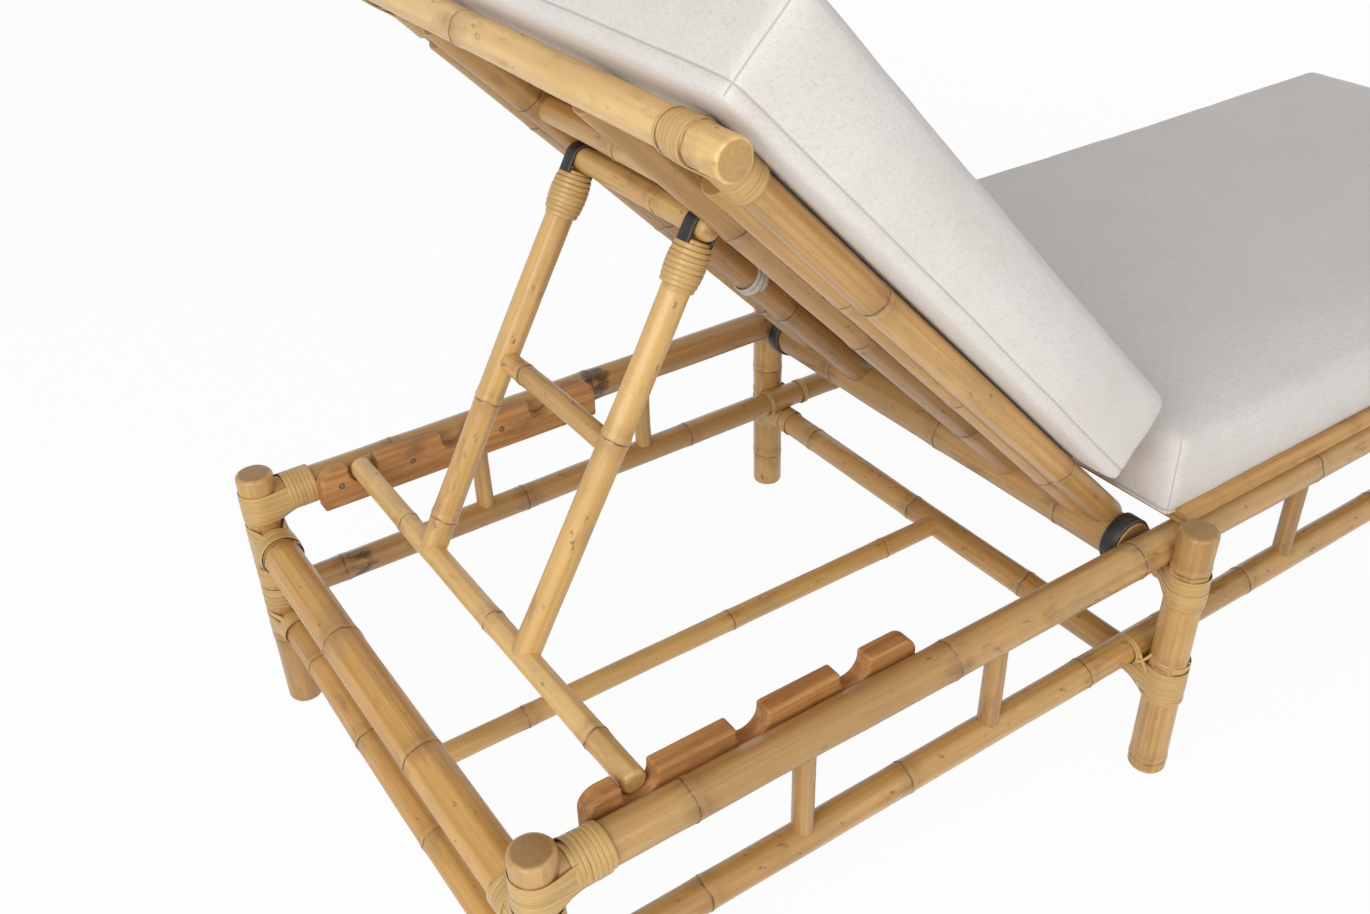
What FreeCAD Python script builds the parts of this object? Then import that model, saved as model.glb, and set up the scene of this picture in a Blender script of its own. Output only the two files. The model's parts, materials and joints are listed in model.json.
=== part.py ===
import FreeCAD, Part
import math
import os
import re
from FreeCAD import Placement, Rotation, Vector

# Bamboo sun lounger: a base of lashed poles, a hinged backrest and a prop that stands in notched racks.
# The head end is at -X, the foot end at +X, left is +Y and the floor is at Z = 0.
# The backrest is drawn lying flat from its hinge axis, and the prop hanging straight down from its pivot.
# Each is then turned about Y into the reclined position.

doc = FreeCAD.newDocument("sun_lounger")

# Driving dimensions in millimetres and degrees. Stations are measured from the head legs towards the foot,
# and on the backrest from the hinge axis up the back.
SIZES = (
    ("frame_length", 1915.0, "head leg axes to foot leg axes"),
    ("rail_spacing", 640.0, "between the side rail axes"),
    ("leg_diameter", 41.0, "legs"),
    ("leg_bevel", 5.0, "rounded rim on a leg's top"),
    ("end_leg_height", 327.0, "head and foot legs"),
    ("mid_leg_height", 329.0, "mid legs"),
    ("mid_leg_station", 742.0, "mid legs"),
    ("upper_rail_diameter", 40.0, "upper side rails"),
    ("upper_rail_height", 290.0, "axis of the upper side rails"),
    ("lower_rail_diameter", 33.0, "lower side rails"),
    ("lower_rail_height", 160.0, "axis of the lower side rails"),
    ("upper_bar_diameter", 44.0, "upper cross-bars at head and foot"),
    ("upper_bar_height", 240.0, "axis of the upper cross-bars"),
    ("lower_bar_diameter", 33.0, "lower cross-bars at head, middle and foot"),
    ("strap_bar_diameter", 28.0, "mid upper cross-bar, which carries the hinge straps"),
    ("stretcher_diameter", 25.0, "centre stretcher"),
    ("spindle_diameter", 22.0, "spindles between the side rails"),
    ("spindle_spacing", 237.0, "spindle spacing, counted from the mid legs"),
    ("spindle_margin", 60.0, "no spindle nearer to an end leg's axis"),
    ("joint_seat", 0.5, "depth that one pole is let into another"),
    ("first_node_station", 190.0, "first swollen ring of an upper rail"),
    ("node_pitch", 237.0, "spacing of the rings"),
    ("node_swell", 1.2, "height of a ring"),
    ("node_width", 7.0, "width of a ring"),
    ("node_margin", 40.0, "no ring nearer to a pole's end"),
    ("rack_station", 60.0, "head end of a rack"),
    ("rack_length", 355.0, "racks"),
    ("rack_height", 48.0, "racks"),
    ("rack_thickness", 20.0, "racks"),
    ("rack_rise", 28.0, "top edge of a rack above the upper rails' axes"),
    ("rack_seat", 1.0, "depth that a rack is let into its rail"),
    ("rack_round", 18.0, "rounded upper corners of a rack"),
    ("first_notch_station", 111.0, "notch that holds the prop bar"),
    ("notch_pitch", 115.0, "notch spacing"),
    ("notch_radius", 17.0, "notches"),
    ("notch_depth", 24.0, "notches"),
    ("hinge_station", 722.0, "backrest hinge axis"),
    ("hinge_drop", 7.0, "backrest hinge axis below the upper rails' axes"),
    ("hinge_bar_diameter", 49.0, "thick bottom bar of the backrest"),
    ("hinge_end_clearance", 3.0, "hinge bar's end to the rail"),
    ("hinge_gap", 2.5, "hinge bar to the bar behind it"),
    ("strap_width", 18.0, "hinge straps"),
    ("strap_thickness", 3.0, "hinge straps"),
    ("strap_inset", 2.0, "hinge strap's edge to the hinge bar's end"),
    ("running_clearance", 0.3, "between pieces that turn on each other"),
    ("back_angle", 45.7, "backrest above the horizontal"),
    ("back_length", 758.0, "hinge axis to the top bar's axis, along the back"),
    ("top_bar_diameter", 32.0, "top bar"),
    ("top_bar_length", 636.0, "top bar"),
    ("top_bar_rise", 8.0, "top bar's axis above the hinge axis, square to the back"),
    ("side_pole_diameter", 31.0, "outer poles of the backrest"),
    ("side_pole_spacing", 520.0, "between the outer poles' axes"),
    ("side_pole_rise", 14.5, "outer poles' axes above the hinge axis, square to the back"),
    ("ledger_diameter", 31.0, "poles beside the outer poles, under the slat ends"),
    ("ledger_stop", 70.0, "ledgers end this far short of the top bar"),
    ("inner_pole_diameter", 34.0, "inner poles"),
    ("inner_pole_spacing", 260.0, "between the inner poles' axes"),
    ("upper_rung_station", 613.0, "rung above the pivot rung"),
    ("upper_rung_diameter", 26.0, "rung above the pivot rung"),
    ("pivot_station", 565.0, "pivot rung, on which the prop hangs"),
    ("pivot_rise", -10.0, "pivot rung's axis against the hinge axis, square to the back"),
    ("pivot_diameter", 24.0, "pivot rung"),
    ("slat_width", 55.0, "slats of backrest and seat"),
    ("slat_thickness", 7.0, "slats"),
    ("slat_crown", 2.0, "a slat's upper face is rounded by this much"),
    ("slat_seat", 0.5, "depth that a slat is let down over the poles"),
    ("slat_pitch", 68.0, "slat spacing"),
    ("slat_end_gap", 1.0, "a back slat's end to the outer pole's side"),
    ("back_slat_station", 82.0, "lowest back slat"),
    ("seat_slat_station", 785.0, "first seat slat"),
    ("seat_slat_overhang", 8.0, "a seat slat's end past the rail's axis"),
    ("strip_width", 26.0, "half-round cover strips over the slat ends"),
    ("strip_height", 9.0, "cover strips"),
    ("strip_end_gap", 6.0, "cover strip to the foot leg"),
    ("prop_leg_diameter", 28.0, "prop legs"),
    ("prop_leg_spacing", 200.0, "between the prop legs' axes"),
    ("prop_leg_gap", 3.0, "prop leg's top to the pivot rung"),
    ("prop_bar_diameter", 25.0, "prop's bottom bar"),
    ("prop_bar_bearing", 12.0, "prop bar's length on each rack"),
    ("prop_rung_diameter", 22.0, "prop's middle rung"),
    ("prop_rung_drop", 210.0, "prop's middle rung below the pivot"),
    ("prop_strap_width", 16.0, "straps on the prop"),
    ("prop_strap_thickness", 2.5, "straps on the prop"),
    ("prop_strap_tail", 46.0, "strap's ends below the pivot axis"),
    ("peel_width", 2.0, "rattan peel, square-cut"),
    ("peel_pitch", 3.4, "rise of one turn of peel"),
    ("peel_clearance", 0.1, "peel to what it is wound on"),
    ("peel_margin", 3.0, "a winding's end to the next piece"),
    ("rail_winding_turns", 4, "turns on a rail's end"),
    ("leg_winding_turns", 3, "turns round a mid leg"),
    ("back_winding_turns", 3, "turns on the top bar beside an outer pole"),
    ("prop_winding_turns", 4, "turns round a strapped prop leg"),
    ("cushion_width", 612.0, "both cushions"),
    ("cushion_thickness", 96.0, "both cushions, at the seams"),
    ("cushion_crown", 14.0, "rise of a cushion's middle"),
    ("cushion_edge", 16.0, "rounded rim of a cushion"),
    ("cushion_draw", 7.0, "a cushion's side pulled in between its corners"),
    ("cushion_corner", 34.0, "rounded corners of a cushion"),
    ("cushion_clearance", 0.4, "a cushion above what carries it"),
    ("seat_cushion_station", 744.0, "head end of the seat cushion"),
    ("seat_cushion_end_gap", 43.0, "seat cushion's foot end to the foot legs' axes"),
    ("back_cushion_station", 122.0, "lower end of the back cushion"),
    ("back_cushion_overhang", 28.0, "back cushion's upper end past the top bar's axis"),
)

# Values worked out from the driving dimensions.
WORKED_OUT = (
    ("head_x", "-frame_length / 2"),
    ("foot_x", "frame_length / 2"),
    ("mid_x", "head_x + mid_leg_station"),
    ("hinge_x", "head_x + hinge_station"),
    ("rail_y", "rail_spacing / 2"),
    ("hinge_height", "upper_rail_height - hinge_drop"),
    ("rack_top", "upper_rail_height + rack_rise"),
    ("mid_leg_y", "rail_y + (lower_rail_diameter + leg_diameter) / 2 - joint_seat"),
    ("lower_bar_z", "lower_rail_height - (lower_rail_diameter + lower_bar_diameter) / 2"),
    ("strap_bar_z", "upper_rail_height - (upper_rail_diameter + strap_bar_diameter) / 2"),
    ("strap_bar_reach", "(hinge_bar_diameter + strap_bar_diameter) / 2 + hinge_gap"),
    ("strap_bar_x", "hinge_x + sqrt(strap_bar_reach ^ 2 - (hinge_height - strap_bar_z) ^ 2)"),
    ("rail_top", "upper_rail_height + upper_rail_diameter / 2"),
    ("bearer_diameter", "rail_top - upper_bar_height - upper_bar_diameter / 2"),
    ("bearer_z", "rail_top - bearer_diameter / 2"),
    ("rack_outer_y", "rail_y - upper_rail_diameter / 2 + rack_seat"),
    ("rack_inner_y", "rack_outer_y - rack_thickness"),
    ("hinge_half", "rail_y - upper_rail_diameter / 2 - hinge_end_clearance"),
    ("strap_y", "hinge_half - strap_inset - strap_width / 2"),
    ("side_pole_y", "side_pole_spacing / 2"),
    ("inner_pole_y", "inner_pole_spacing / 2"),
    ("ledger_y", "side_pole_y - (side_pole_diameter + ledger_diameter) / 2"),
    ("back_slat_rise", "side_pole_rise + side_pole_diameter / 2 - slat_thickness"),
    ("ledger_rise", "back_slat_rise + slat_seat - ledger_diameter / 2"),
    ("inner_pole_rise", "back_slat_rise + slat_seat - inner_pole_diameter / 2"),
    ("pivot_x", "hinge_x - pivot_station * cos(back_angle) + pivot_rise * sin(back_angle)"),
    ("pivot_z", "hinge_height + pivot_station * sin(back_angle) + pivot_rise * cos(back_angle)"),
    ("notch_x", "head_x + first_notch_station"),
    ("prop_bar_z", "rack_top - notch_depth + prop_bar_diameter / 2 + running_clearance"),
    ("prop_length", "sqrt((pivot_x - notch_x) ^ 2 + (pivot_z - prop_bar_z) ^ 2)"),
    ("prop_angle", "asin((pivot_x - notch_x) / prop_length) / 1deg"),
    ("prop_bar_half", "rack_inner_y + prop_bar_bearing"),
    ("prop_leg_y", "prop_leg_spacing / 2"),
    ("prop_strap_bore", "pivot_diameter / 2 + running_clearance"),
    ("seat_top", "rail_top - slat_seat + slat_thickness"),
    ("seat_cushion_length", "frame_length - seat_cushion_end_gap - seat_cushion_station"),
    ("back_cushion_length", "back_length + back_cushion_overhang - back_cushion_station"),
    ("rail_winding_room", "leg_diameter / 2 + 2 * peel_margin + rail_winding_turns * peel_pitch"),
    ("seat_slat_room", "frame_length - seat_slat_station - rail_winding_room - slat_width / 2"),
    ("back_slat_room", "back_length - back_slat_station - (top_bar_diameter + slat_width) / 2"),
)

sheet = doc.addObject("Spreadsheet::Sheet", "Sizes")
for row, (alias, value, note) in enumerate(SIZES, start=1):
    sheet.set(f"A{row}", note)
    sheet.set(f"B{row}", str(value))
    sheet.setAlias(f"B{row}", alias)
doc.recompute()

derived = doc.addObject("App::VarSet", "Derived")
OWNER = {alias: "Sizes." for alias, value, note in SIZES}


def formula(text):
    """Turns the plain names in a formula into references to the sheet or to the worked-out values."""
    return re.sub(r"[a-z][a-z_]+", lambda word: OWNER.get(word.group(), "") + word.group(), str(text))


for alias, text in WORKED_OUT:
    derived.addProperty("App::PropertyFloat", alias)
    derived.setExpression(alias, formula(text))
    OWNER[alias] = "Derived."
doc.recompute()


def number(text):
    """The present value of a formula."""
    return float(sheet.evalExpression(formula(text)))


# Building blocks

LIE = {"x": Rotation(Vector(0, 1, 0), 90), "y": Rotation(Vector(1, 0, 0), -90), "z": Rotation()}
SIDES = (("left", 1), ("right", -1))
nodes = {}


def add(kind, name, sizes, spot, rotation=Rotation()):
    """One primitive whose sizes and place are bound to formulas."""
    thing = doc.addObject(kind, name)
    thing.Placement = Placement(Vector(), rotation)
    for size_name, text in sizes.items():
        thing.setExpression(size_name, formula(text))
    for axis, text in zip("xyz", spot):
        thing.setExpression(f"Placement.Base.{axis}", formula(text))
    return thing


def compound(name, pieces):
    """Separate solids kept together."""
    group = doc.addObject("Part::Compound", name)
    group.Links = list(pieces)
    return group


def fuse(name, pieces):
    """One solid made of several."""
    joined = doc.addObject("Part::MultiFuse", name)
    joined.Shapes = list(pieces)
    joined.Refine = True
    return joined


def cut(name, base, tools):
    """Base less the tools, which don't overlap each other."""
    result = doc.addObject("Part::Cut", name)
    result.Base = base
    result.Tool = tools[0] if len(tools) == 1 else compound(name + "_tools", tools)
    return result


def solid(name, shape):
    """A shape worked out here, for forms that no primitive has."""
    thing = doc.addObject("Part::Feature", name)
    thing.Shape = shape
    return thing


def cylinder(name, diameter, length, start, along):
    """A round bar from its start point along X, Y or Z."""
    return add("Part::Cylinder", name, {"Radius": f"({diameter}) / 2", "Height": length}, start, LIE[along])


def block(name, lengths, corner):
    """A box from its lowest corner."""
    return add("Part::Box", name, dict(zip(("Length", "Width", "Height"), lengths)), corner)


def culm(name, diameter, length, start, along, first_node):
    """A bamboo pole: a round bar with a swollen ring at each node."""
    bar = cylinder(name + "_bar", diameter, length, start, along)
    radius = f"({diameter}) / 2"
    rim = f"({diameter}) / 2 + node_swell"
    span = number(f"{length} - ({first_node}) - node_margin")
    rings = []
    for k in range(1 + math.floor(span / number("node_pitch"))):
        for half, lower, upper, shift in (("a", radius, rim, "- node_width / 2"), ("b", rim, radius, "")):
            spot = list(start)
            spot["xyz".index(along)] += f" + {first_node} + {k} * node_pitch {shift}"
            flare = {"Radius1": lower, "Radius2": upper, "Height": "node_width / 2"}
            rings.append(add("Part::Cone", f"{name}_ring_{k + 1}{half}", flare, spot, LIE[along]))
    return fuse(name + "_culm", [bar] + rings)


def node(label, thing):
    """Names a finished piece of the base."""
    thing.Label = label
    nodes[label] = thing
    return thing


def turned(label, thing, spot, angle):
    """Names a finished piece that is drawn about a joint axis, and turns it into place about Y."""
    piece = compound(label, [thing])
    piece.Placement = Placement(Vector(), Rotation(Vector(0, 1, 0), 1))
    piece.setExpression("Placement.Rotation.Angle", formula(f"{angle} * 1deg"))
    for axis, text in zip("xyz", spot):
        piece.setExpression(f"Placement.Base.{axis}", formula(text))
    return node(label, piece)


def on_back(label, thing):
    return turned(label, thing, ("hinge_x", 0, "hinge_height"), "back_angle")


def on_prop(label, thing):
    return turned(label, thing, ("pivot_x", 0, "pivot_z"), "prop_angle")


# Legs

def leg_bar(name, x, y, height):
    return cylinder(name + "_bar", "leg_diameter", f"{height} - leg_bevel", (x, y, 0), "z")


def leg_top(name, x, y, height):
    rim = {"Radius1": "leg_diameter / 2", "Radius2": "leg_diameter / 2 - leg_bevel", "Height": "leg_bevel"}
    return add("Part::Cone", name + "_top", rim, (x, y, f"{height} - leg_bevel"))


end_leg_bars = {}
for end, x in (("head", "head_x"), ("foot", "foot_x")):
    for side, sign in SIDES:
        name = f"{end}_leg_{side}"
        y = f"{sign} * rail_y"
        end_leg_bars[end, side] = leg_bar(name, x, y, "end_leg_height")
        node(name, fuse(name, [end_leg_bars[end, side], leg_top(name, x, y, "end_leg_height")]))

# Racks: boards with rounded upper corners and half-round notches for the prop bar

NOTCH_COUNT = 3
for side, sign in SIDES:
    name = f"rack_{side}"
    x = "head_x + rack_station"
    y = "rack_inner_y" if sign > 0 else "-rack_outer_y"
    z = "rack_top - rack_height"
    board = block(name + "_board", ("rack_length - 2 * rack_round", "rack_thickness", "rack_height"),
                  (f"{x} + rack_round", y, z))
    skirt = block(name + "_skirt", ("rack_length", "rack_thickness", "rack_height - rack_round"), (x, y, z))
    rounds = [cylinder(f"{name}_round_{k}", "2 * rack_round", "rack_thickness",
                       (spot, y, "rack_top - rack_round"), "y")
              for k, spot in enumerate((f"{x} + rack_round", f"{x} + rack_length - rack_round"))]
    notches = []
    for k in range(NOTCH_COUNT):
        middle = f"notch_x + {k} * notch_pitch"
        floor = "rack_top - notch_depth + notch_radius"
        through = ("2 * notch_radius", "3 * rack_thickness", "2 * notch_depth")
        bore = cylinder(f"{name}_bore_{k}", "2 * notch_radius", "3 * rack_thickness",
                        (middle, f"{y} - rack_thickness", floor), "y")
        mouth = block(f"{name}_mouth_{k}", through,
                      (f"{middle} - notch_radius", f"{y} - rack_thickness", floor))
        notches.append(fuse(f"{name}_notch_{k}", [bore, mouth]))
    node(name, cut(name, fuse(name + "_blank", [board, skirt] + rounds), notches))

# Side rails run from leg to leg, with their ends coped to the legs

rail_start = "head_x + leg_diameter / 4"
rail_run = "frame_length - leg_diameter / 2"
rail_culms = {}
for side, sign in SIDES:
    y = f"{sign} * rail_y"
    ends = [end_leg_bars["head", side], end_leg_bars["foot", side]]
    upper = culm(f"upper_rail_{side}", "upper_rail_diameter", rail_run,
                 (rail_start, y, "upper_rail_height"), "x", "first_node_station")
    lower = cylinder(f"lower_rail_{side}_bar", "lower_rail_diameter", rail_run,
                     (rail_start, y, "lower_rail_height"), "x")
    rail_culms[side] = (upper, lower)
    node(f"upper_rail_{side}", cut(f"upper_rail_{side}", upper, ends + [nodes[f"rack_{side}"]]))
    node(f"lower_rail_{side}", cut(f"lower_rail_{side}", lower, ends))

# Mid legs stand outside the rails and are notched for them

mid_leg_bars = []
for side, sign in SIDES:
    name = f"mid_leg_{side}"
    y = f"{sign} * mid_leg_y"
    bar = leg_bar(name, "mid_x", y, "mid_leg_height")
    mid_leg_bars.append(bar)
    whole = fuse(name + "_whole", [bar, leg_top(name, "mid_x", y, "mid_leg_height")])
    node(name, cut(name, whole, rail_culms[side]))

# Cross-bars, coped to the legs at both ends

for end, x in (("head", "head_x"), ("foot", "foot_x")):
    ends = [end_leg_bars[end, side] for side, sign in SIDES]
    for level, diameter, z in (("upper", "upper_bar_diameter", "upper_bar_height"),
                               ("lower", "lower_bar_diameter", "lower_bar_z")):
        name = f"{end}_{level}_bar"
        pole = cylinder(name + "_bar", diameter, "rail_spacing - leg_diameter / 2",
                        (x, "-rail_y + leg_diameter / 4", z), "y")
        node(name, cut(name, pole, ends))
mid_lower = cylinder("mid_lower_bar_bar", "lower_bar_diameter", "2 * mid_leg_y",
                     ("mid_x", "-mid_leg_y", "lower_bar_z"), "y")
node("mid_lower_bar", cut("mid_lower_bar", mid_lower, mid_leg_bars))
strap_bar = cylinder("mid_upper_bar_bar", "strap_bar_diameter", "2 * mid_leg_y",
                     ("strap_bar_x", "-mid_leg_y", "strap_bar_z"), "y")
node("mid_upper_bar", cut("mid_upper_bar", strap_bar, mid_leg_bars))

stretcher = cylinder("centre_stretcher_bar", "stretcher_diameter", "mid_leg_station",
                     ("head_x", 0, "lower_bar_z"), "x")
stretcher_ends = [nodes["head_lower_bar"], nodes["mid_lower_bar"]]
node("centre_stretcher", cut("centre_stretcher", stretcher, stretcher_ends))

# Spindles between the side rails

spindles_to_head = math.floor(number("(mid_leg_station - spindle_margin) / spindle_spacing"))
spindles_to_foot = math.floor(number("(frame_length - mid_leg_station - spindle_margin) / spindle_spacing"))
spindle_places = [k for k in range(-spindles_to_head, spindles_to_foot + 1) if k != 0]
for side, sign in SIDES:
    name = f"spindles_{side}"
    sticks = [cylinder(f"{name}_{k}", "spindle_diameter", "upper_rail_height - lower_rail_height",
                       (f"mid_x + ({k}) * spindle_spacing", f"{sign} * rail_y", "lower_rail_height"), "z")
              for k in spindle_places]
    node(name, cut(name, compound(name + "_sticks", sticks), rail_culms[side]))

# Slats are split culms: flat below and slightly rounded above

slat_profile = doc.addObject("Sketcher::SketchObject", "slat_profile")
slat_half = number("slat_width / 2")
slat_side = number("slat_thickness - slat_crown")
corners = [Vector(-slat_half, 0), Vector(slat_half, 0),
           Vector(slat_half, slat_side), Vector(-slat_half, slat_side)]
for start, stop in ((0, 1), (1, 2), (3, 0)):
    slat_profile.addGeometry(Part.LineSegment(corners[start], corners[stop]))
slat_profile.addGeometry(Part.Arc(corners[2], Vector(0, number("slat_thickness")), corners[3]))
LIE_ACROSS = Rotation(Vector(1, 0, 0), 90)


def slats(name, room, first_x, step, length, z):
    """A row of slats that lie across, each extruded from the one profile, as many as there is room for."""
    row = []
    for k in range(1 + math.floor(number(f"{room} / slat_pitch"))):
        slat = doc.addObject("Part::Extrusion", f"{name}_{k + 1}")
        slat.Base = slat_profile
        slat.DirMode = "Custom"
        slat.Dir = Vector(0, 0, 1)
        slat.Solid = True
        slat.Placement = Placement(Vector(), LIE_ACROSS)
        slat.setExpression("LengthFwd", formula(length))
        for axis, text in zip("xyz", (f"{first_x} + {k} * ({step})", f"({length}) / 2", z)):
            slat.setExpression(f"Placement.Base.{axis}", formula(text))
        row.append(slat)
    return compound(name + "_row", row)


# Seat: bearer on the cross-bars, slats on the rails, half-round strips over the slat ends

bearer = cylinder("seat_bearer_bar", "bearer_diameter", "foot_x - strap_bar_x",
                  ("strap_bar_x", 0, "bearer_z"), "x")
node("seat_bearer", cut("seat_bearer", bearer, [nodes["mid_upper_bar"], nodes["foot_upper_bar"]]))
seat_row = slats("seat_slats", "seat_slat_room", "head_x + seat_slat_station", "slat_pitch",
                 "rail_spacing + 2 * seat_slat_overhang", "seat_top - slat_thickness")
seat_carriers = [rail_culms["left"][0], rail_culms["right"][0], nodes["seat_bearer"]]
node("seat_slats", cut("seat_slats", seat_row, seat_carriers))
for side, sign in SIDES:
    name = f"cover_strip_{side}"
    run = "frame_length - seat_slat_station + slat_width / 2 - leg_diameter / 2 - strip_end_gap"
    start = ("foot_x - leg_diameter / 2 - strip_end_gap", f"{sign} * rail_y")
    bulge = "strip_height / 2 + strip_width ^ 2 / (8 * strip_height)"
    pole = cylinder(name + "_round", f"2 * ({bulge})", run,
                    (f"{start[0]} - ({run})", start[1], f"seat_top + strip_height - ({bulge})"), "x")
    box = block(name + "_box", (run, "strip_width", "strip_height"),
                (f"{start[0]} - ({run})", f"{start[1]} - strip_width / 2", "seat_top"))
    strip = doc.addObject("Part::Common", name)
    strip.Base = pole
    strip.Tool = box
    node(name, strip)

# Hinge straps: leather belts round the hinge bar and the cross-bar behind it


def belt(centre_a, radius_a, centre_b, radius_b):
    """The outline of a tight belt round two circles in the XZ plane."""
    gap = centre_b - centre_a
    lean = math.acos((radius_a - radius_b) / gap.Length)
    heading = math.atan2(gap.z, gap.x)

    def touch(centre, radius, angle):
        return centre + Vector(math.cos(angle), 0, math.sin(angle)) * radius

    a_up, a_down = (touch(centre_a, radius_a, heading + turn) for turn in (lean, -lean))
    b_up, b_down = (touch(centre_b, radius_b, heading + turn) for turn in (lean, -lean))
    edges = [Part.Arc(a_up, touch(centre_a, radius_a, heading + math.pi), a_down).toShape(),
             Part.LineSegment(a_down, b_down).toShape(),
             Part.Arc(b_down, touch(centre_b, radius_b, heading), b_up).toShape(),
             Part.LineSegment(b_up, a_up).toShape()]
    return Part.Face(Part.Wire(edges))


hinge_axis = Vector(number("hinge_x"), 0, number("hinge_height"))
strap_axis = Vector(number("strap_bar_x"), 0, number("strap_bar_z"))
bore_radius = number("hinge_bar_diameter / 2 + running_clearance")
tail_radius = number("strap_bar_diameter / 2")
leather = number("strap_thickness")
strap_face = belt(hinge_axis, bore_radius + leather, strap_axis, tail_radius + leather).cut(
    belt(hinge_axis, bore_radius, strap_axis, tail_radius))
for side, sign in SIDES:
    middle = sign * number("strap_y")
    strap = strap_face.copy()
    strap.translate(Vector(0, middle - number("strap_width / 2"), 0))
    strap = strap.extrude(Vector(0, number("strap_width"), 0))
    node(f"hinge_strap_{side}", solid(f"hinge_strap_{side}", strap))

# Backrest, drawn lying flat: the hinge axis is the Y axis and the back runs along -X

hinge_bar = cylinder("hinge_bar_bar", "hinge_bar_diameter", "2 * hinge_half", (0, "-hinge_half", 0), "y")
top_bar = cylinder("top_bar_bar", "top_bar_diameter", "top_bar_length",
                   ("-back_length", "-top_bar_length / 2", "top_bar_rise"), "y")
on_back("hinge_bar", hinge_bar)
on_back("top_bar", top_bar)

pole_start = "-back_length + top_bar_diameter / 4"
pole_run = "back_length - top_bar_diameter / 4 - hinge_bar_diameter / 4"
slat_carriers = []
inner_culms = []
for side, sign in SIDES:
    side_pole = cylinder(f"side_pole_{side}_bar", "side_pole_diameter", pole_run,
                         (pole_start, f"{sign} * side_pole_y", "side_pole_rise"), "x")
    on_back(f"side_pole_{side}", cut(f"side_pole_{side}_coped", side_pole, [top_bar, hinge_bar]))
    inner_pole = cylinder(f"inner_pole_{side}_bar", "inner_pole_diameter", pole_run,
                          (pole_start, f"{sign} * inner_pole_y", "inner_pole_rise"), "x")
    inner_culms.append(inner_pole)
    on_back(f"inner_pole_{side}", cut(f"inner_pole_{side}_coped", inner_pole, [top_bar, hinge_bar]))
    ledger = cylinder(f"ledger_{side}_bar", "ledger_diameter",
                      "back_length - ledger_stop - hinge_bar_diameter / 4",
                      ("-back_length + ledger_stop", f"{sign} * ledger_y", "ledger_rise"), "x")
    on_back(f"ledger_{side}", cut(f"ledger_{side}_coped", ledger, [hinge_bar, side_pole]))
    slat_carriers += [inner_pole, ledger]

RUNGS = (("upper_rung", "upper_rung_diameter", "upper_rung_station", "top_bar_rise"),
         ("pivot_rung", "pivot_diameter", "pivot_station", "pivot_rise"))
for name, diameter, station, rise in RUNGS:
    rung = cylinder(name + "_bar", diameter, "2 * inner_pole_y",
                    (f"-{station}", "-inner_pole_y", rise), "y")
    on_back(name, cut(name + "_coped", rung, inner_culms))

back_row = slats("back_slats", "back_slat_room", "-back_slat_station", "-slat_pitch",
                 "side_pole_spacing - side_pole_diameter - 2 * slat_end_gap", "back_slat_rise")
on_back("back_slats", cut("back_slats_seated", back_row, slat_carriers))

# Prop, drawn hanging straight down from the pivot rung's axis

prop_bar = cylinder("prop_bar_bar", "prop_bar_diameter", "2 * prop_bar_half",
                    (0, "-prop_bar_half", "-prop_length"), "y")
on_prop("prop_bar", prop_bar)
prop_leg_bars = []
for side, sign in SIDES:
    y = f"{sign} * prop_leg_y"
    ring = []
    for part, radius in (("outer", "prop_strap_bore + prop_strap_thickness"), ("inner", "prop_strap_bore")):
        half = add("Part::Cylinder", f"prop_strap_{side}_{part}",
                   {"Radius": radius, "Height": "prop_strap_width", "Angle": "180"},
                   (0, f"{y} + prop_strap_width / 2", 0), Rotation(Vector(1, 0, 0), 90))
        ring.append(half)
    tail_sizes = ("prop_strap_thickness", "prop_strap_width", "prop_strap_tail")
    tails = [block(f"prop_strap_{side}_tail_{k}", tail_sizes,
                   (x, f"{y} - prop_strap_width / 2", "-prop_strap_tail"))
             for k, x in enumerate(("prop_strap_bore", "-prop_strap_bore - prop_strap_thickness"))]
    strap = fuse(f"prop_strap_{side}_loop", [cut(f"prop_strap_{side}_arch", ring[0], [ring[1]])] + tails)
    on_prop(f"prop_strap_{side}", strap)
    run = "prop_length - pivot_diameter / 2 - prop_leg_gap"
    bar = cylinder(f"prop_leg_{side}_bar", "prop_leg_diameter", run, (0, y, "-prop_length"), "z")
    prop_leg_bars.append(bar)
    on_prop(f"prop_leg_{side}", cut(f"prop_leg_{side}_coped", bar, [prop_bar, strap]))
prop_rung = cylinder("prop_rung_bar", "prop_rung_diameter", "prop_leg_spacing",
                     (0, "-prop_leg_y", "-prop_rung_drop"), "y")
on_prop("prop_rung", cut("prop_rung_coped", prop_rung, prop_leg_bars))

# Rattan-peel windings: one unbroken strip each, wound round a pole as a helix of arcs

ARCS = 2
SAMPLES = 6
STRETCHES = 2


def biarc(p, p_heading, q, q_heading):
    """Two arcs that leave p and reach q along the given headings."""
    chord = q - p
    turn = p_heading + q_heading
    bend = 2 * (1 - p_heading.dot(q_heading))
    reach = (math.sqrt(chord.dot(turn) ** 2 + bend * chord.dot(chord)) - chord.dot(turn)) / bend
    p_corner = p + p_heading * reach
    q_corner = q - q_heading * reach
    middle = (p_corner + q_corner) / 2
    return [arc(p, p_corner, middle), arc(middle, q_corner, q)]


def arc(p, corner, q):
    """The arc from p to q that touches both legs of the corner."""
    half_angle = (p - corner).getAngle(q - corner) / 2
    weight = math.sin(half_angle)
    return Part.Arc(p, (p + corner * 2 * weight + q) / (2 + 2 * weight), q).toShape()


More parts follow.
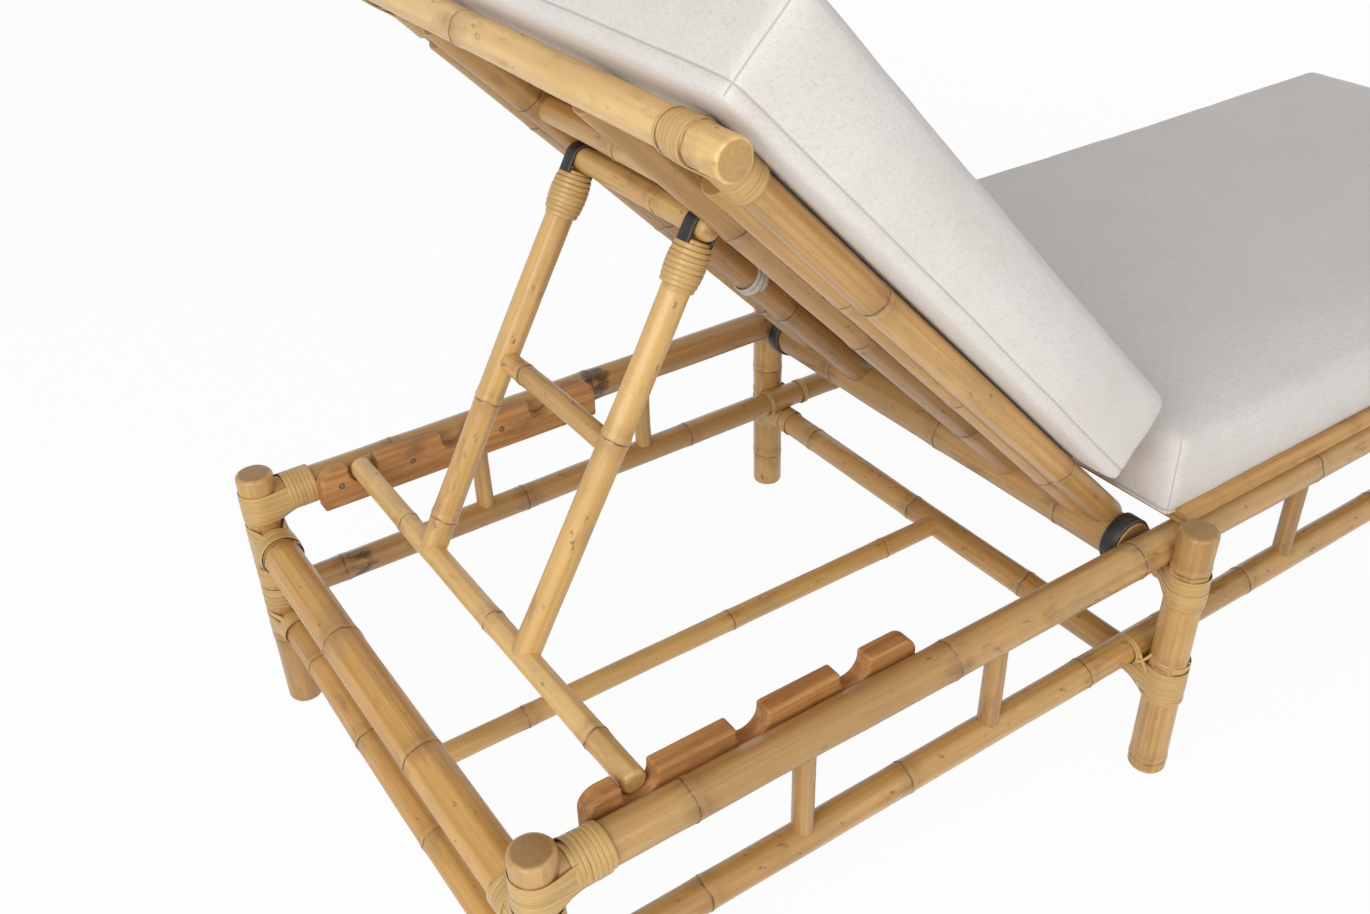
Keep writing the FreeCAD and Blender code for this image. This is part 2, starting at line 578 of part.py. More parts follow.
def winding(name, inner_diameter, turns):
    """A helix of square-cut peel about +Z, from Z = 0."""
    radius = number(f"({inner_diameter}) / 2 + peel_clearance + peel_width * 0.70711")
    rise = number("peel_pitch") / (2 * math.pi)
    width = number("peel_width")

    def spot(angle):
        return Vector(radius * math.cos(angle), radius * math.sin(angle), rise * angle)

    def heading(angle):
        return Vector(-radius * math.sin(angle), radius * math.cos(angle), rise).normalize()

    stops = [k * 2 * math.pi / STRETCHES for k in range(STRETCHES * turns + 1)]
    edges = []
    for start, stop in zip(stops, stops[1:]):
        edges += biarc(spot(start), heading(start), spot(stop), heading(stop))
    outward = Vector(width / 2, 0, 0)
    upward = outward.cross(heading(0))
    ring = ((-1, -1), (1, -1), (1, 1), (-1, 1), (-1, -1))
    corners = [spot(0) + outward * a + upward * b for a, b in ring]
    strip = Part.Wire(edges).makePipeShell([Part.makePolygon(corners)], True, False)
    shares = [k / SAMPLES for k in range(SAMPLES)]
    points = [edge.valueAt(edge.FirstParameter + (edge.LastParameter - edge.FirstParameter) * share)
              for edge in edges for share in shares]
    turn = STRETCHES * ARCS * SAMPLES
    nearest = min(p.distanceToPoint(q) for i, p in enumerate(points) for q in points[i + turn // 2:])
    print(f"{name}: least gap between turns {nearest - width * math.sqrt(2):.2f} mm")
    return strip


def wind(name, inner_diameter, turns, start, rotation):
    strip = winding(name, inner_diameter, turns)
    thing = solid(name, strip)
    thing.Placement = Placement(Vector(*(number(text) for text in start)), rotation)
    return thing


# Whole turns of each winding
rail_turns = round(number("rail_winding_turns"))
leg_turns = round(number("leg_winding_turns"))
back_turns = round(number("back_winding_turns"))
prop_turns = round(number("prop_winding_turns"))
under_bar = "strap_bar_z - strap_bar_diameter / 2"
base_windings = []
for side, sign in SIDES:
    for end, x in (("head", "head_x + leg_diameter / 2 + peel_margin"),
                   ("foot", f"foot_x - leg_diameter / 2 - peel_margin - {rail_turns} * peel_pitch")):
        base_windings.append(wind(f"rail_winding_{end}_{side}", "upper_rail_diameter", rail_turns,
                                  (x, f"{sign} * rail_y", "upper_rail_height"), LIE["x"]))
    leg_start = f"{under_bar} - peel_margin - {leg_turns} * peel_pitch"
    base_windings.append(wind(f"leg_winding_{side}", "leg_diameter", leg_turns,
                              ("mid_x", f"{sign} * mid_leg_y", leg_start), LIE["z"]))
node("base_lashings", compound("base_lashings", base_windings))

back_windings = []
for side, sign in SIDES:
    start = "side_pole_y + side_pole_diameter / 2 + peel_margin"
    if sign < 0:
        start = f"-({start}) - {back_turns} * peel_pitch"
    back_windings.append(wind(f"bar_winding_{side}", "top_bar_diameter", back_turns,
                              ("-back_length", start, "top_bar_rise"), LIE["y"]))
on_back("backrest_lashings", compound("back_windings", back_windings))

prop_windings = []
bound_diameter = "2 * sqrt((prop_strap_bore + prop_strap_thickness) ^ 2 + (prop_strap_width / 2) ^ 2)"
for side, sign in SIDES:
    prop_windings.append(wind(f"prop_winding_{side}", bound_diameter, prop_turns,
                              (0, f"{sign} * prop_leg_y", "-prop_strap_tail + peel_margin"), LIE["z"]))
on_prop("prop_lashings", compound("prop_windings", prop_windings))

# Cushions: crowned boxes with rounded rims, whose sides are drawn in between the corners


def cushion_outline(length, width, inset, z):
    """A rectangle with rounded corners and sides that bow inwards, from X = 0 to its length."""
    corner = number("cushion_corner")
    draw = number("cushion_draw")
    half = width / 2 - inset
    low, high = inset, length - inset
    edges = []
    sides = [(Vector(low + corner, -half, z), Vector(high - corner, -half, z), Vector(0, draw, 0)),
             (Vector(high, -half + corner, z), Vector(high, half - corner, z), Vector(-draw, 0, 0)),
             (Vector(high - corner, half, z), Vector(low + corner, half, z), Vector(0, -draw, 0)),
             (Vector(low, half - corner, z), Vector(low, -half + corner, z), Vector(draw, 0, 0))]
    tips = [Vector(high, -half, z), Vector(high, half, z), Vector(low, half, z), Vector(low, -half, z)]
    for k, (start, stop, bow) in enumerate(sides):
        following = sides[(k + 1) % len(sides)][0]
        edges.append(Part.Arc(start, (start + stop) / 2 + bow, stop).toShape())
        inward = ((stop + following) / 2 - tips[k]) * (2 - math.sqrt(2))
        edges.append(Part.Arc(stop, tips[k] + inward, following).toShape())
    return Part.Wire(edges)


def cushion(name, length):
    """A loft from the underside through the rim to the crown."""
    width = number("cushion_width")
    thick = number("cushion_thickness")
    crown = number("cushion_crown")
    rim = number("cushion_edge")
    levels = ((rim, 0), (0, rim), (0, thick - rim), (rim, thick), (width / 3, thick + crown))
    outlines = [cushion_outline(length, width, *level) for level in levels]
    return solid(name, Part.makeLoft(outlines, True, True))


seat_cushion = cushion("seat_cushion", number("seat_cushion_length"))
seat_spot = Vector(number("head_x + seat_cushion_station"), 0, number("seat_top + cushion_clearance"))
seat_cushion.Placement = Placement(seat_spot, Rotation())
node("seat_cushion", seat_cushion)
back_cushion = cushion("back_cushion_flat", number("back_cushion_length"))
back_spot = Vector(number("-back_cushion_station - back_cushion_length"), 0,
                   number("back_slat_rise + slat_thickness + cushion_clearance"))
back_cushion.Placement = Placement(back_spot, Rotation())
on_back("back_cushion", back_cushion)

# Check everything, then write one file for each piece

doc.recompute()
for thing in doc.Objects:
    if "Invalid" in thing.State or "Error" in thing.State:
        raise RuntimeError(f"{thing.Label} failed: {thing.State}")
for label, thing in nodes.items():
    if thing.Shape.isNull() or not thing.Shape.isValid() or not thing.Shape.Solids:
        raise RuntimeError(f"{label} has no valid solid")

os.makedirs("parts", exist_ok=True)
for label, thing in nodes.items():
    thing.Shape.exportStep(f"parts/{label}.step")
print(f"{len(nodes)} pieces written")
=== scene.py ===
import json
import math
import random

import bmesh
import bpy
import numpy as np
from mathutils import Matrix, Vector, noise


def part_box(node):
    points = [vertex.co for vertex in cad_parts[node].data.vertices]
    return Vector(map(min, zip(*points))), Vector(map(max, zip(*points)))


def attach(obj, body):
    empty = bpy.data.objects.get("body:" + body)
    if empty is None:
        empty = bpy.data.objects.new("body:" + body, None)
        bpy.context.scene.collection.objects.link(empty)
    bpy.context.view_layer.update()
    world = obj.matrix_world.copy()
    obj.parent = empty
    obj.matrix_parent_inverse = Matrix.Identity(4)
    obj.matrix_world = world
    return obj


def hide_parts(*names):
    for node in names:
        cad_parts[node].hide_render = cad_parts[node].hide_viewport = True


# Bamboo sun lounger. Sizes are in metres, in the CAD frame: +X towards the foot, +Y to the left, +Z up.

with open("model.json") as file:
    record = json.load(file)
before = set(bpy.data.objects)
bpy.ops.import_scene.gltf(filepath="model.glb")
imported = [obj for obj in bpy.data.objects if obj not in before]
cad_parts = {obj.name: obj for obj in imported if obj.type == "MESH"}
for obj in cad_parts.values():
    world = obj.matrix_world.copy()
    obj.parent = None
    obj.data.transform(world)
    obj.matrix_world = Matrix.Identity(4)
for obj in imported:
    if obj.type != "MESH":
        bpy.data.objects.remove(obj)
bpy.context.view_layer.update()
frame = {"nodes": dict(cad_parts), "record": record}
nodes = frame["nodes"]
MM = 0.001

# The photograph's camera, found by fitting the frame's corners
CAMERA_PLACE = Vector((-1.22397, -0.96075, 1.13237))
CAMERA_YAW = 0.9919788
CAMERA_PITCH = -0.5824564
CAMERA_ROLL = -0.0315971
FOCAL_PIXELS = 1322.15
PHOTO_WIDTH = 1370
SENSOR_WIDTH = 36.0


def make_camera():
    level = math.cos(CAMERA_PITCH)
    forward = Vector((level * math.cos(CAMERA_YAW), level * math.sin(CAMERA_YAW), math.sin(CAMERA_PITCH)))
    level_right = Vector((math.sin(CAMERA_YAW), -math.cos(CAMERA_YAW), 0))
    level_up = level_right.cross(forward)
    right = math.cos(CAMERA_ROLL) * level_right + math.sin(CAMERA_ROLL) * level_up
    up = math.cos(CAMERA_ROLL) * level_up - math.sin(CAMERA_ROLL) * level_right
    camera = bpy.data.objects.new("camera", bpy.data.cameras.new("camera"))
    bpy.context.scene.collection.objects.link(camera)
    turn = Matrix((right, up, -forward)).transposed().to_4x4()
    camera.matrix_world = Matrix.Translation(CAMERA_PLACE) @ turn
    camera.data.sensor_width = SENSOR_WIDTH
    camera.data.lens = FOCAL_PIXELS / PHOTO_WIDTH * SENSOR_WIDTH
    camera.data.clip_start = 0.05
    bpy.context.scene.camera = camera


make_camera()

# Materials


def srgb(red, green, blue):
    """A linear colour from 0 to 255 screen values."""
    def linear(value):
        value /= 255
        return value / 12.92 if value <= 0.04045 else ((value + 0.055) / 1.055) ** 2.4
    return (linear(red), linear(green), linear(blue), 1.0)


class Shade:
    """A material being wired up. A method adds what it is named for and returns its output."""

    def __init__(self, name):
        self.material = bpy.data.materials.new(name)
        self.material.use_nodes = True
        self.tree = self.material.node_tree
        self.surface = self.tree.nodes["Principled BSDF"]

    def add(self, kind, inputs, output=0, **settings):
        node = self.tree.nodes.new("ShaderNode" + kind)
        for key, value in settings.items():
            setattr(node, key, value)
        for key, value in inputs.items():
            self.feed(node.inputs[key], value)
        return node.outputs[output]

    def feed(self, socket, value):
        if isinstance(value, bpy.types.NodeSocket):
            self.tree.links.new(value, socket)
        else:
            socket.default_value = value

    def attribute(self, name, output="Fac"):
        return self.add("Attribute", {}, output, attribute_name=name)

    def place(self):
        return self.add("TexCoord", {}, "Object")

    def stretch(self, vector, scale):
        return self.add("VectorMath", {0: vector, 1: scale}, operation="MULTIPLY")

    def noise(self, vector, scale=1.0, detail=3.0, roughness=0.5):
        inputs = {"Vector": vector, "Scale": scale, "Detail": detail, "Roughness": roughness}
        return self.add("TexNoise", inputs)

    def grain(self, vector, along, across, detail, roughness=0.5):
        """Noise drawn out along X."""
        return self.noise(self.stretch(vector, (along, across, across)), 1.0, detail, roughness)

    def cells(self, vector, output, scale=1.0):
        return self.add("TexVoronoi", {"Vector": vector, "Scale": scale}, output)

    def math(self, operation, a, b=0.0):
        return self.add("Math", {0: a, 1: b}, operation=operation)

    def fade(self, value, start, stop):
        """0 at start, 1 at stop and smooth between them."""
        inputs = {"Value": value, "From Min": start, "From Max": stop}
        return self.add("MapRange", inputs, interpolation_type="SMOOTHSTEP")

    def blend(self, factor, a, b):
        return self.add("Mix", {0: factor, 6: a, 7: b}, 2, data_type="RGBA")

    def tint(self, colour, value, start, stop, share, other):
        """Mixes in up to that share of another colour, as value goes from start to stop."""
        return self.blend(self.math("MULTIPLY", self.fade(value, start, stop), share), colour, other)

    def bump(self, height, strength, distance, below=None):
        inputs = {"Height": height, "Strength": strength, "Distance": distance}
        if below is not None:
            inputs["Normal"] = below
        return self.add("Bump", inputs)

    def finish(self, **inputs):
        for key, value in inputs.items():
            self.feed(self.surface.inputs[key.replace("_", " ")], value)
        return self.material


def shadowed(colour, share):
    return tuple(channel * share for channel in colour[:3]) + (1.0,)


def bamboo_material(name, straw, tan, brown, pit_count=1.0, sound=0.52):
    """Varnished bamboo: streaks along the culm, a thin ragged line at each node, scattered stains and scars.
    pit_count is how closely its pits stand, and sound the share of the surface without them."""
    shade = Shade(name)
    culm = shade.attribute("culm", "Vector")
    gap = shade.attribute("node_gap")
    near = shade.attribute("node_near")
    streaks = shade.grain(culm, 2.5, 170.0, 5.0, 0.6)
    patches = shade.grain(culm, 7.0, 22.0, 2.0)
    stains = shade.grain(culm, 16.0, 60.0, 4.0, 0.65)
    specks = shade.grain(culm, 190.0, 420.0, 2.0)
    colour = shade.blend(shade.fade(streaks, 0.34, 0.68), straw, tan)
    colour = shade.tint(colour, patches, 0.45, 0.72, 0.6, tan)
    mottle = shade.grain(culm, 12.0, 34.0, 3.0, 0.6)
    colour = shade.tint(colour, mottle, 0.48, 0.7, 0.5, MOTTLE)
    tone = shade.attribute("tone")
    colour = shade.tint(colour, tone, 0.5, 1.0, 0.28, brown)
    colour = shade.tint(colour, tone, 0.5, 0.0, 0.4, straw)
    colour = shade.tint(colour, stains, 0.58, 0.76, 0.6, brown)
    colour = shade.tint(colour, specks, 0.68, 0.77, 0.55, brown)
    ragged = shade.grain(culm, 110.0, 240.0, 2.0)
    pit_places = shade.stretch(culm, (34.0 * pit_count, 74.0 * pit_count, 74.0 * pit_count))
    pit_places = shade.add("VectorMath", {0: pit_places, 1: ragged}, operation="ADD")
    pits = shade.fade(shade.cells(pit_places, "Distance"), 0.2, 0.02)
    kept = shade.math("GREATER_THAN", shade.cells(pit_places, "Color"), sound)
    colour = shade.blend(shade.math("MULTIPLY", shade.math("MULTIPLY", pits, kept), 0.75), colour, PITTED)
    flush = shade.math("MULTIPLY", shade.fade(near, 0.05, 0.95), shade.fade(stains, 0.34, 0.66))
    colour = shade.blend(shade.math("MULTIPLY", flush, 0.6), colour, brown)
    at_node = shade.fade(near, 0.3, 0.5)
    shaved = shade.fade(shade.math("ABSOLUTE", shade.math("SUBTRACT", gap, 3 * MM)), 4 * MM, 1 * MM)
    colour = shade.blend(shade.math("MULTIPLY", shade.math("MULTIPLY", shaved, at_node), 0.3), colour, straw)
    line = shade.fade(shade.math("ABSOLUTE", shade.math("ADD", gap, 1.6 * MM)), 1.3 * MM, 0.4 * MM)
    broken = shade.fade(shade.grain(culm, 30.0, 90.0, 3.0), 0.25, 0.62)
    line = shade.math("MULTIPLY", shade.math("MULTIPLY", line, at_node), broken)
    colour = shade.blend(shade.math("MULTIPLY", line, 0.8), colour, NODE_LINE)
    blotches = shade.grain(culm, 26.0, 44.0, 3.0, 0.6)
    scorch = shade.math("MULTIPLY", shade.attribute("scorch"), blotches)
    colour = shade.tint(colour, scorch, 0.36, 0.5, 0.8, SCORCHED)
    fibres = shade.grain(culm, 10.0, 260.0, 2.0)
    end_grain = shade.blend(shade.fade(fibres, 0.3, 0.75), shadowed(tan, 0.76), shadowed(tan, 0.64))
    colour = shade.blend(shade.attribute("cut"), colour, end_grain)
    relief = shade.bump(streaks, 0.22, 0.6 * MM)
    relief = shade.bump(stains, 0.1, 0.8 * MM, relief)
    rough = shade.math("ADD", 0.26, shade.math("MULTIPLY", stains, 0.28))
    return shade.finish(Base_Color=colour, Roughness=rough, Normal=relief,
                        Coat_Weight=0.25, Coat_Roughness=0.18)


def lath_material(name, grain_scale):
    """Split bamboo laths, with the grain along the axis that grain_scale stretches least."""
    shade = Shade(name)
    place = shade.place()
    grain = shade.noise(shade.stretch(place, grain_scale), 1.0, 5.0, 0.6)
    tint = shade.grain(place, 24.0, 24.0, 2.0)
    colour = shade.blend(shade.fade(grain, 0.34, 0.68), srgb(204, 160, 98), srgb(176, 130, 72))
    colour = shade.tint(colour, tint, 0.5, 0.72, 0.5, srgb(140, 98, 56))
    relief = shade.bump(grain, 0.25, 0.5 * MM)
    return shade.finish(Base_Color=colour, Roughness=0.45, Normal=relief, Coat_Weight=0.1)


def peel_material():
    """Pale rattan peel: fine lines along the strip, each strip a little different."""
    shade = Shade("rattan_peel")
    run = shade.attribute("run", "Vector")
    lines = shade.noise(shade.stretch(run, (14.0, 1500.0, 7.0)), 1.0, 3.0, 0.6)
    turns = shade.noise(shade.stretch(run, (9.0, 0.0, 7.0)), 1.0, 1.0)
    colour = shade.blend(shade.fade(lines, 0.3, 0.72), srgb(214, 179, 114), srgb(190, 150, 88))
    colour = shade.tint(colour, turns, 0.45, 0.75, 0.45, srgb(170, 130, 76))
    # Painted shade along each strip's edges, where neighbouring turns meet in a groove.
    colour = shade.tint(colour, shade.attribute("edge"), 0.8, 1.0, 0.4, srgb(136, 100, 58))
    relief = shade.bump(lines, 0.3, 0.3 * MM)
    return shade.finish(Base_Color=colour, Roughness=0.4, Normal=relief, Coat_Weight=0.15)


def rack_material():
    """Oiled hardwood with its grain along X."""
    shade = Shade("rack_wood")
    place = shade.place()
    warp = shade.grain(place, 5.0, 30.0, 2.0)
    grain_place = shade.stretch(place, (4.0, 110.0, 110.0))
    grain_place = shade.add("VectorMath", {0: grain_place, 1: warp}, operation="ADD")
    grain = shade.noise(grain_place, 1.0, 6.0, 0.65)
    pores = shade.grain(place, 40.0, 900.0, 2.0)
    colour = shade.blend(shade.fade(grain, 0.32, 0.68), srgb(200, 146, 86), srgb(160, 106, 58))
    blotches = shade.grain(place, 13.0, 34.0, 4.0, 0.65)
    colour = shade.tint(colour, blotches, 0.5, 0.74, 0.55, srgb(106, 72, 44))
    colour = shade.tint(colour, pores, 0.58, 0.7, 0.5, srgb(98, 66, 40))
    return shade.finish(Base_Color=colour, Roughness=0.55, Normal=shade.bump(grain, 0.25, 0.5 * MM))


def leather_material():
    shade = Shade("leather")
    place = shade.place()
    grain = shade.cells(place, "Distance", 900.0)
    wear = shade.noise(place, 60.0, 3.0)
    colour = shade.blend(shade.fade(wear, 0.4, 0.75), srgb(27, 25, 24), srgb(44, 41, 39))
    colour = shade.blend(shade.fade(shade.attribute("edge"), 0.7, 1.0), colour, srgb(74, 66, 60))
    return shade.finish(Base_Color=colour, Roughness=0.5, Normal=shade.bump(grain, 0.35, 0.4 * MM))


def cloth_material():
    """Off-white heathered cloth: crossed threads with darker flecks, and a painted thin shadow along each
    seam and down each corner of the box.
    """
    shade = Shade("cushion_cloth")
    place = shade.place()
    warp = shade.grain(place, 230.0, 1500.0, 2.0)
    weft = shade.noise(shade.stretch(place, (1500.0, 230.0, 1500.0)), 1.0, 2.0)
    flecks = shade.math("MAXIMUM", shade.fade(warp, 0.56, 0.7), shade.fade(weft, 0.56, 0.7))
    broad = shade.noise(place, 7.0, 2.0)
    colour = shade.blend(shade.fade(broad, 0.35, 0.7), srgb(230, 225, 220), srgb(227, 221, 215))
    colour = shade.blend(shade.math("MULTIPLY", flecks, 0.6), colour, srgb(203, 195, 189))
    slubs = shade.grain(place, 170.0, 300.0, 3.0, 0.6)
    colour = shade.tint(colour, slubs, 0.5, 0.68, 0.28, srgb(204, 194, 185))
    # Painted shade: a thin shadow along the seams and down the box's corners, mixed into the cloth colour.
    sewn = shade.fade(shade.attribute("seam"), 0.45, 0.95)
    corner_shadow = shade.fade(shade.attribute("corner_gap"), 1.6 * MM, 0.5 * MM)
    seams = shade.math("MULTIPLY", shade.math("MAXIMUM", sewn, corner_shadow), 0.5)
    colour = shade.blend(seams, colour, srgb(150, 142, 136))
    weave = shade.math("ADD", warp, weft)
    return shade.finish(Base_Color=colour, Roughness=0.92, Normal=shade.bump(weave, 0.25, 0.4 * MM),
                        Sheen_Weight=0.2, Sheen_Roughness=0.5)


def plain_material(name, colour, roughness, metallic=0.0):
    """One colour with a faint unevenness, for screws and the cotton tie."""
    shade = Shade(name)
    dust = shade.noise(shade.place(), 140.0, 3.0)
    tint = shade.blend(shade.fade(dust, 0.35, 0.7), colour, shadowed(colour, 0.82))
    rough = shade.math("ADD", roughness, shade.math("MULTIPLY", dust, 0.15))
    relief = shade.bump(dust, 0.05, 0.3 * MM)
    return shade.finish(Base_Color=tint, Roughness=rough, Metallic=metallic, Normal=relief)


NODE_LINE = srgb(64, 40, 24)
SCORCHED = srgb(62, 42, 34)
PITTED = srgb(88, 58, 34)
MOTTLE = srgb(166, 134, 80)
IVORY = bamboo_material("bamboo_ivory", srgb(234, 196, 130), srgb(218, 174, 106), srgb(166, 118, 66))
PALE = bamboo_material("bamboo_pale", srgb(220, 180, 113), srgb(204, 159, 92), srgb(160, 111, 60))
HONEY = bamboo_material("bamboo_honey", srgb(212, 170, 104), srgb(188, 140, 77), srgb(142, 96, 50))
SPOTTED = bamboo_material("bamboo_spotted", srgb(212, 170, 106), srgb(188, 141, 79), srgb(138, 94, 50),
                          pit_count=1.25, sound=0.15)
OLIVE = bamboo_material("bamboo_olive", srgb(204, 162, 102), srgb(184, 141, 83), srgb(136, 96, 54))
AMBER = bamboo_material("bamboo_amber", srgb(220, 171, 95), srgb(192, 139, 64), srgb(142, 92, 44))
BROWN = bamboo_material("bamboo_brown", srgb(192, 151, 94), srgb(170, 128, 74), srgb(116, 78, 44))
LATH = lath_material("bamboo_lath", (130.0, 4.0, 130.0))
STRIP = lath_material("bamboo_strip", (4.0, 130.0, 130.0))
PEEL = peel_material()
RACK = rack_material()
LEATHER = leather_material()
CLOTH = cloth_material()
STEEL = plain_material("screw_steel", srgb(118, 100, 80), 0.5, 0.6)
COTTON = plain_material("cotton", srgb(214, 212, 210), 0.9)

# Frames of the backrest and the prop, in which their poles run along an axis

BACK_ANGLE = math.radians(45.7)


def middle_of(node):
    low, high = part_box(node)
    return (low + high) / 2


hinge = middle_of("hinge_bar")
pivot = middle_of("pivot_rung")
prop_foot = middle_of("prop_bar")
PROP_ANGLE = math.atan2(pivot.x - prop_foot.x, pivot.z - prop_foot.z)
LEVEL = Matrix.Identity(4)
BACK = Matrix.Translation(hinge) @ Matrix.Rotation(BACK_ANGLE, 4, "Y")
PROP = Matrix.Translation(pivot) @ Matrix.Rotation(PROP_ANGLE, 4, "Y")
PLACES = {"base": LEVEL, "backrest": BACK, "prop": PROP}
body_of = {node: body for body, members in frame["record"]["behaviour"]["bodies"].items() for node in members}
X, Y, Z = Vector((1, 0, 0)), Vector((0, 1, 0)), Vector((0, 0, 1))


def corners_in(place, node):
    """A CAD node's lowest and highest corners in one of those frames."""
    inverse = place.inverted()
    points = [inverse @ vertex.co for vertex in nodes[node].data.vertices]
    low = Vector(min(point[k] for point in points) for k in range(3))
    high = Vector(max(point[k] for point in points) for k in range(3))
    return low, high


def axis_of(node):
    """Start, end and radius of a round CAD pole, in the CAD frame."""
    place = PLACES[body_of[node]]
    low, high = corners_in(place, node)
    sizes = high - low
    along = max(range(3), key=lambda k: sizes[k])
    start = (low + high) / 2
    end = start.copy()
    start[along], end[along] = low[along], high[along]
    radius = min(sizes[k] for k in range(3) if k != along) / 2
    return place @ start, place @ end, radius


def radius_of(node):
    return axis_of(node)[2]


def new_object(name, mesh, material):
    piece = bpy.data.objects.new(name, mesh)
    bpy.context.scene.collection.objects.link(piece)
    mesh.materials.append(material)
    return piece


def smooth_mesh(name, points, faces):
    mesh = bpy.data.meshes.new(name)
    mesh.from_pydata([tuple(point) for point in points], [], faces)
    mesh.shade_smooth()
    return mesh


def set_attribute(mesh, name, kind, values):
    layer = mesh.attributes.new(name, kind, "POINT")
    field = "vector" if kind == "FLOAT_VECTOR" else "value"
    layer.data.foreach_set(field, np.asarray(values, np.float32).ravel())


def settle(piece, body, slot, *replaced):
    """Ties a piece to its body and hides the CAD nodes that it stands for. slot, the name of its finish, is
    not used.
    """
    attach(piece, body)
    if replaced:
        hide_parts(*replaced)


# Bamboo poles

AROUND = 40
STEP = 24 * MM
RIM = 1.5 * MM
LEG_RIM = 5.0 * MM
BOW = 1.2 * MM
SPINDLE_BOW = 0.5 * MM
RAIL_RADIUS = 20 * MM
SEED_SHIFT = 3.7
NODE_SWELL = 0.9 * MM
NODE_WAVE = 2.4 * MM
NODE_REACH = 25 * MM
NODE_STEPS = [k * MM for k in (-24, -13, -9, -6, -4.5, -3.4, -2.5, -1.8, -1.1, -0.4,
                               0.5, 1.5, 3, 5, 8, 12, 24)]
RIM_STEPS = ((0.0, 1.0), (0.1, 0.56), (0.3, 0.29), (0.6, 0.08), (1.0, 0.0))
FACET_COUNTS = (8, 10)
FLATNESS = 0.5
FACET_FADE = 50 * MM
SCORCH_REACH = 34 * MM


def side_vectors(direction):
    """Two directions square to a pole."""
    helper = Z if abs(direction.z) < 0.8 else X
    across = direction.cross(helper).normalized()
    return across, direction.cross(across)


def swell_at(gap):
    """How far a culm stands out near a node: a soft swelling, a ridge and the thin groove beside it."""
    soft = 0.5 * math.exp(-((gap / (9 * MM)) ** 2))
    ridge = 0.5 * math.exp(-((gap / (2.6 * MM)) ** 2))
    groove = 0.7 * math.exp(-(((gap + 1.8 * MM) / (0.9 * MM)) ** 2))
    return NODE_SWELL * (soft + ridge - groove)


